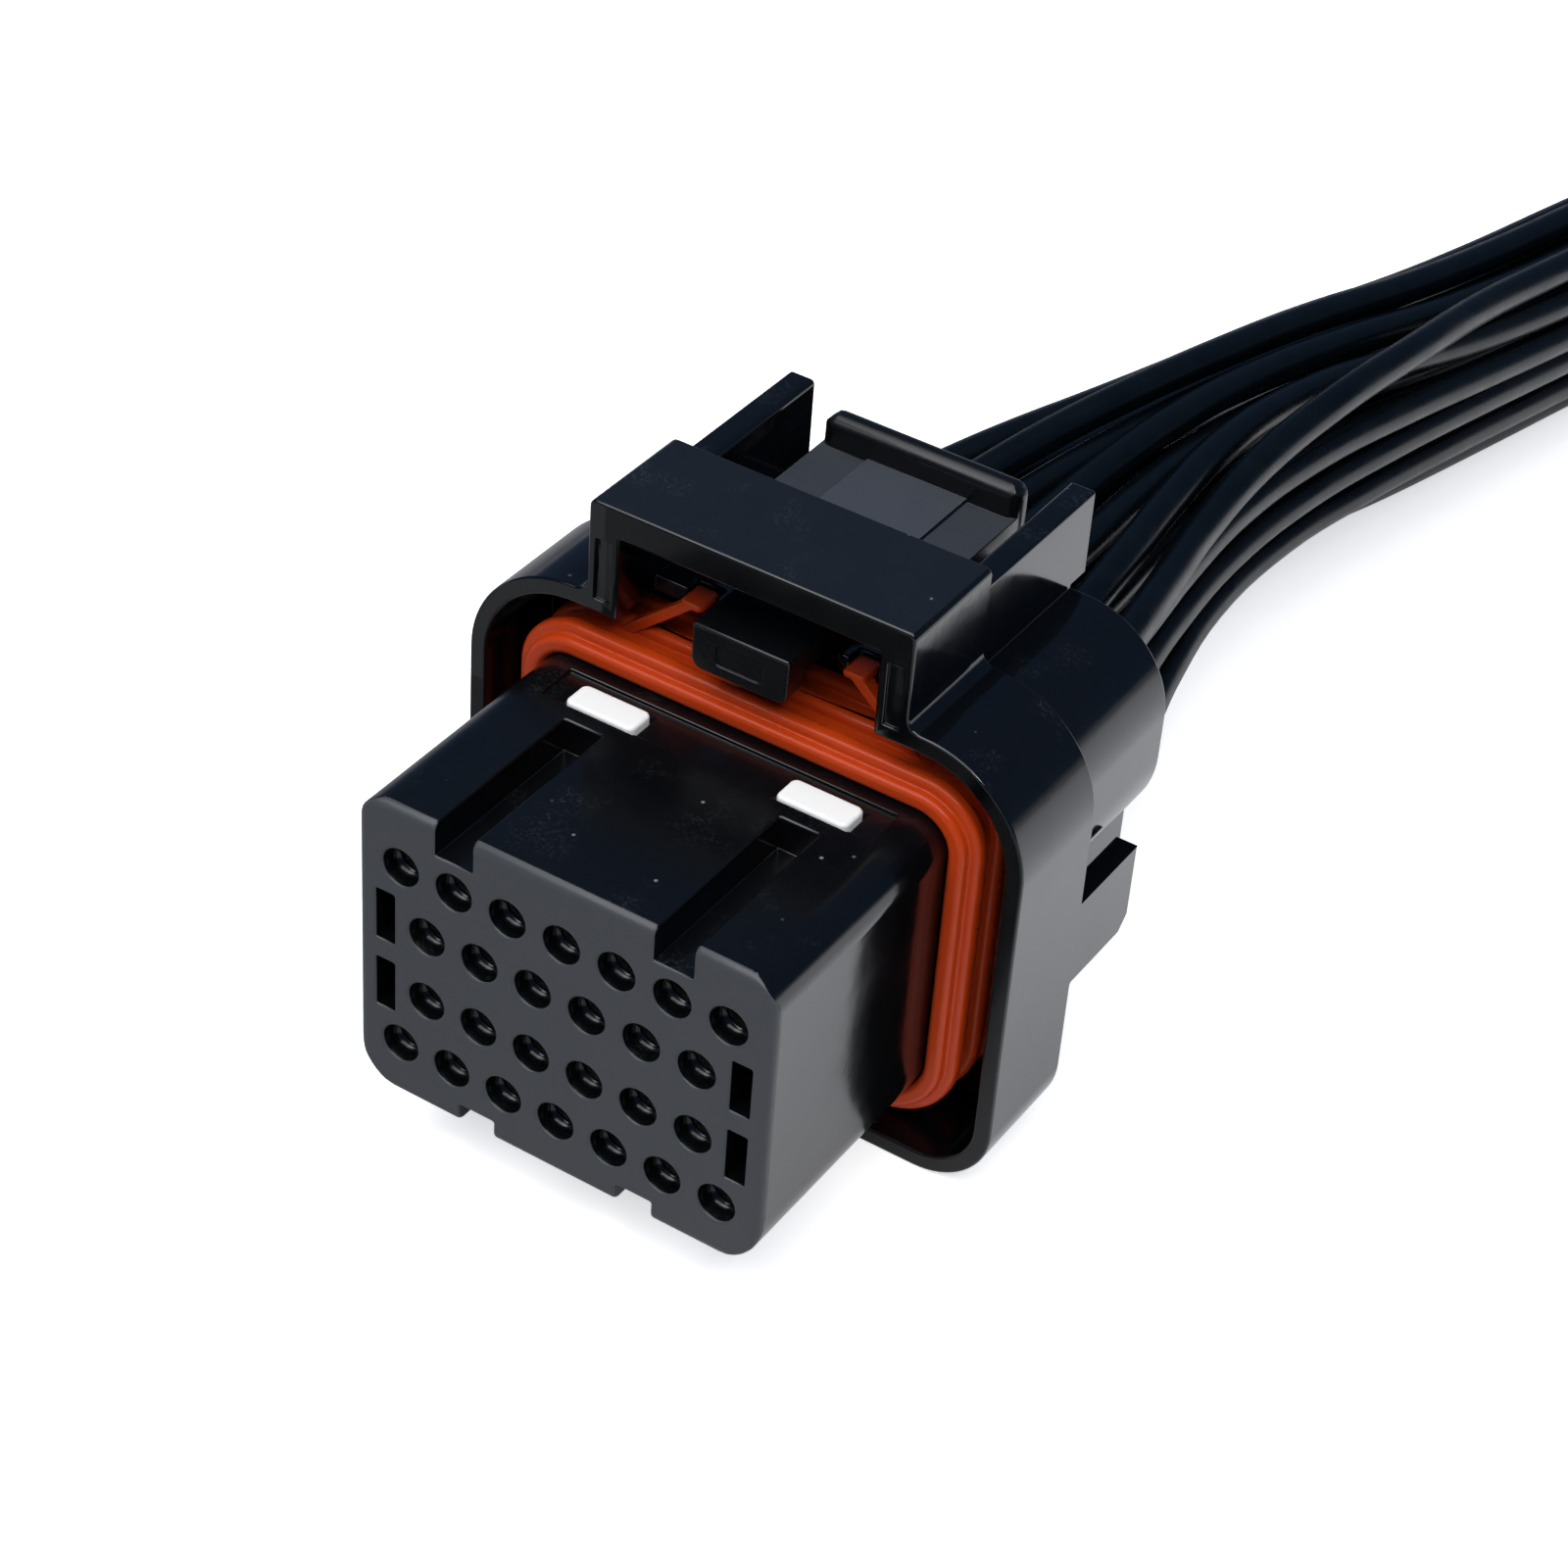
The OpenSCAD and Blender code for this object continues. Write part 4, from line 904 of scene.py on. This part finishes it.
class PLUG_OT_strands(bpy.types.Operator):
    """Make the tinned strands that show at the wires' cut ends"""

    bl_idname = "plug.strands"
    bl_label = "Strands"

    def execute(self, context):
        sizes = context.scene.plug_sizes
        contacts = contact_places(sizes.pitch)
        start_y, cover_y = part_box("wire_01")[0].y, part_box("rear_cover")[1].y
        steps = range(-STRAND_RINGS, STRAND_RINGS + 1)
        lay = [(a, b) for a in steps for b in steps if abs(a + b) <= STRAND_RINGS]
        places = []
        for contact in contacts:
            before, end = wire_points(contact, contacts, start_y, cover_y)[-2:]
            along = (end - before).normalized()
            side = along.cross(Vector((0, 0, 1)))
            for a, b in lay:
                right = (a + b / 2) * sizes.strand_diameter
                up = b * math.sqrt(3) / 2 * sizes.strand_diameter
                places.append(end + right * side + Vector((0, 0, up)))
        mesh = bpy.data.meshes.new("strand_places")
        mesh.from_pydata(places, [], [])
        draft = new_object("strand_places", mesh)
        maker = draft.modifiers.new("strands", "NODES")
        maker.node_group, inputs = strand_tree()
        maker[inputs["Diameter"]] = sizes.strand_diameter
        maker[inputs["Length"]] = sizes.strand_length
        # The leads end side by side, so the last one's direction serves for all
        maker[inputs["Turn"]] = along.to_track_quat("Z", "Y").to_euler()
        maker[inputs["Seed"]] = STRAND_SEED
        maker[inputs["Finish"]] = MATERIALS["tin"]
        obj = new_object("strand_ends", plain_mesh(draft, "strand_ends"))
        finish_piece(obj, "tin_plated_copper")
        return {"FINISHED"}


class PLUG_OT_wires(bpy.types.Operator):
    """Make the wire leads"""

    bl_idname = "plug.wires"
    bl_label = "Wire leads"

    def execute(self, context):
        sizes = context.scene.plug_sizes
        start_y, cover_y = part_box("wire_01")[0].y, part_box("rear_cover")[1].y
        contacts = contact_places(sizes.pitch)
        for index, contact in enumerate(contacts):
            name = f"wire_{index + 1:02d}"
            points = wire_points(contact, contacts, start_y, cover_y)
            curve = bpy.data.curves.new(name + "_look", "CURVE")
            curve.dimensions = "3D"
            curve.bevel_depth = sizes.wire_diameter / 2
            curve.bevel_resolution = JACKET_AROUND
            curve.resolution_u = JACKET_ALONG
            curve.use_fill_caps = True
            spline = curve.splines.new("BEZIER")
            spline.bezier_points.add(len(points) - 1)
            for knot, point in zip(spline.bezier_points, points):
                knot.co = point
                knot.handle_left_type = knot.handle_right_type = "AUTO"
            curve.materials.append(MATERIALS["jacket"])
            obj = new_object(name + "_look", curve)
            length = sum((b - a).length for a, b in zip(points, points[1:]))
            finish_piece(obj, "black_wire_jacket", name)
            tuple(points[1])
        return {"FINISHED"}


class PLUG_OT_stage(bpy.types.Operator):
    """Make the camera, the light table and the lights"""

    bl_idname = "plug.stage"
    bl_label = "Stage"

    def execute(self, context):
        scene, stage = context.scene, context.scene.plug_stage
        add_camera(scene)
        add_floor(stage)
        add_light("sky_light", *SKY_LIGHT, stage.sky_power)
        add_light("window_light", *WINDOW_LIGHT, stage.window_power)
        add_light("lamp", *LAMP, stage.lamp_power)
        add_room(scene)
        scene.view_settings.view_transform = "Standard"
        return {"FINISHED"}


class PLUG_PT_panel(bpy.types.Panel):
    """Lists the plug's settings and the steps that make it"""

    bl_idname = "PLUG_PT_panel"
    bl_label = "Sealed plug"
    bl_space_type = "VIEW_3D"
    bl_region_type = "UI"
    bl_category = "Plug"

    def draw(self, context):
        for group in (context.scene.plug_sizes, context.scene.plug_colours, context.scene.plug_stage):
            box = self.layout.box()
            for name in group.__annotations__:
                box.prop(group, name)
        for step in STEPS:
            self.layout.operator(step.bl_idname)


STEPS = (
    PLUG_OT_stage,
    PLUG_OT_strands,
    PLUG_OT_wires,
    PLUG_OT_housing,
    PLUG_OT_contact_block,
    PLUG_OT_lever,
    PLUG_OT_rear_cover,
    PLUG_OT_wire_seal,
    PLUG_OT_interface_seal,
    PLUG_OT_lock,
    PLUG_OT_terminals,
)
GROUPS = {"plug_sizes": PlugSizes, "plug_colours": PlugColours, "plug_stage": PlugStage}


def register():
    """Adds the settings, the steps and the panel."""
    for group in GROUPS.values():
        bpy.utils.register_class(group)
    for step in (*STEPS, PLUG_PT_panel):
        bpy.utils.register_class(step)
    for name, group in GROUPS.items():
        setattr(bpy.types.Scene, name, PointerProperty(type=group))


def unregister():
    """Takes them away again."""
    for name in GROUPS:
        delattr(bpy.types.Scene, name)
    for step in (PLUG_PT_panel, *reversed(STEPS)):
        bpy.utils.unregister_class(step)
    for group in GROUPS.values():
        bpy.utils.unregister_class(group)


def main():
    """Makes the plug and its stage."""
    register()
    MATERIALS.update(make_materials(bpy.context.scene.plug_colours))
    bpy.ops.plug.stage()
    bpy.ops.plug.strands()
    bpy.ops.plug.wires()
    bpy.ops.plug.housing()
    bpy.ops.plug.contact_block()
    bpy.ops.plug.lever()
    bpy.ops.plug.rear_cover()
    bpy.ops.plug.wire_seal()
    bpy.ops.plug.interface_seal()
    bpy.ops.plug.lock()
    bpy.ops.plug.terminals()


if __name__ == "__main__":
    main()
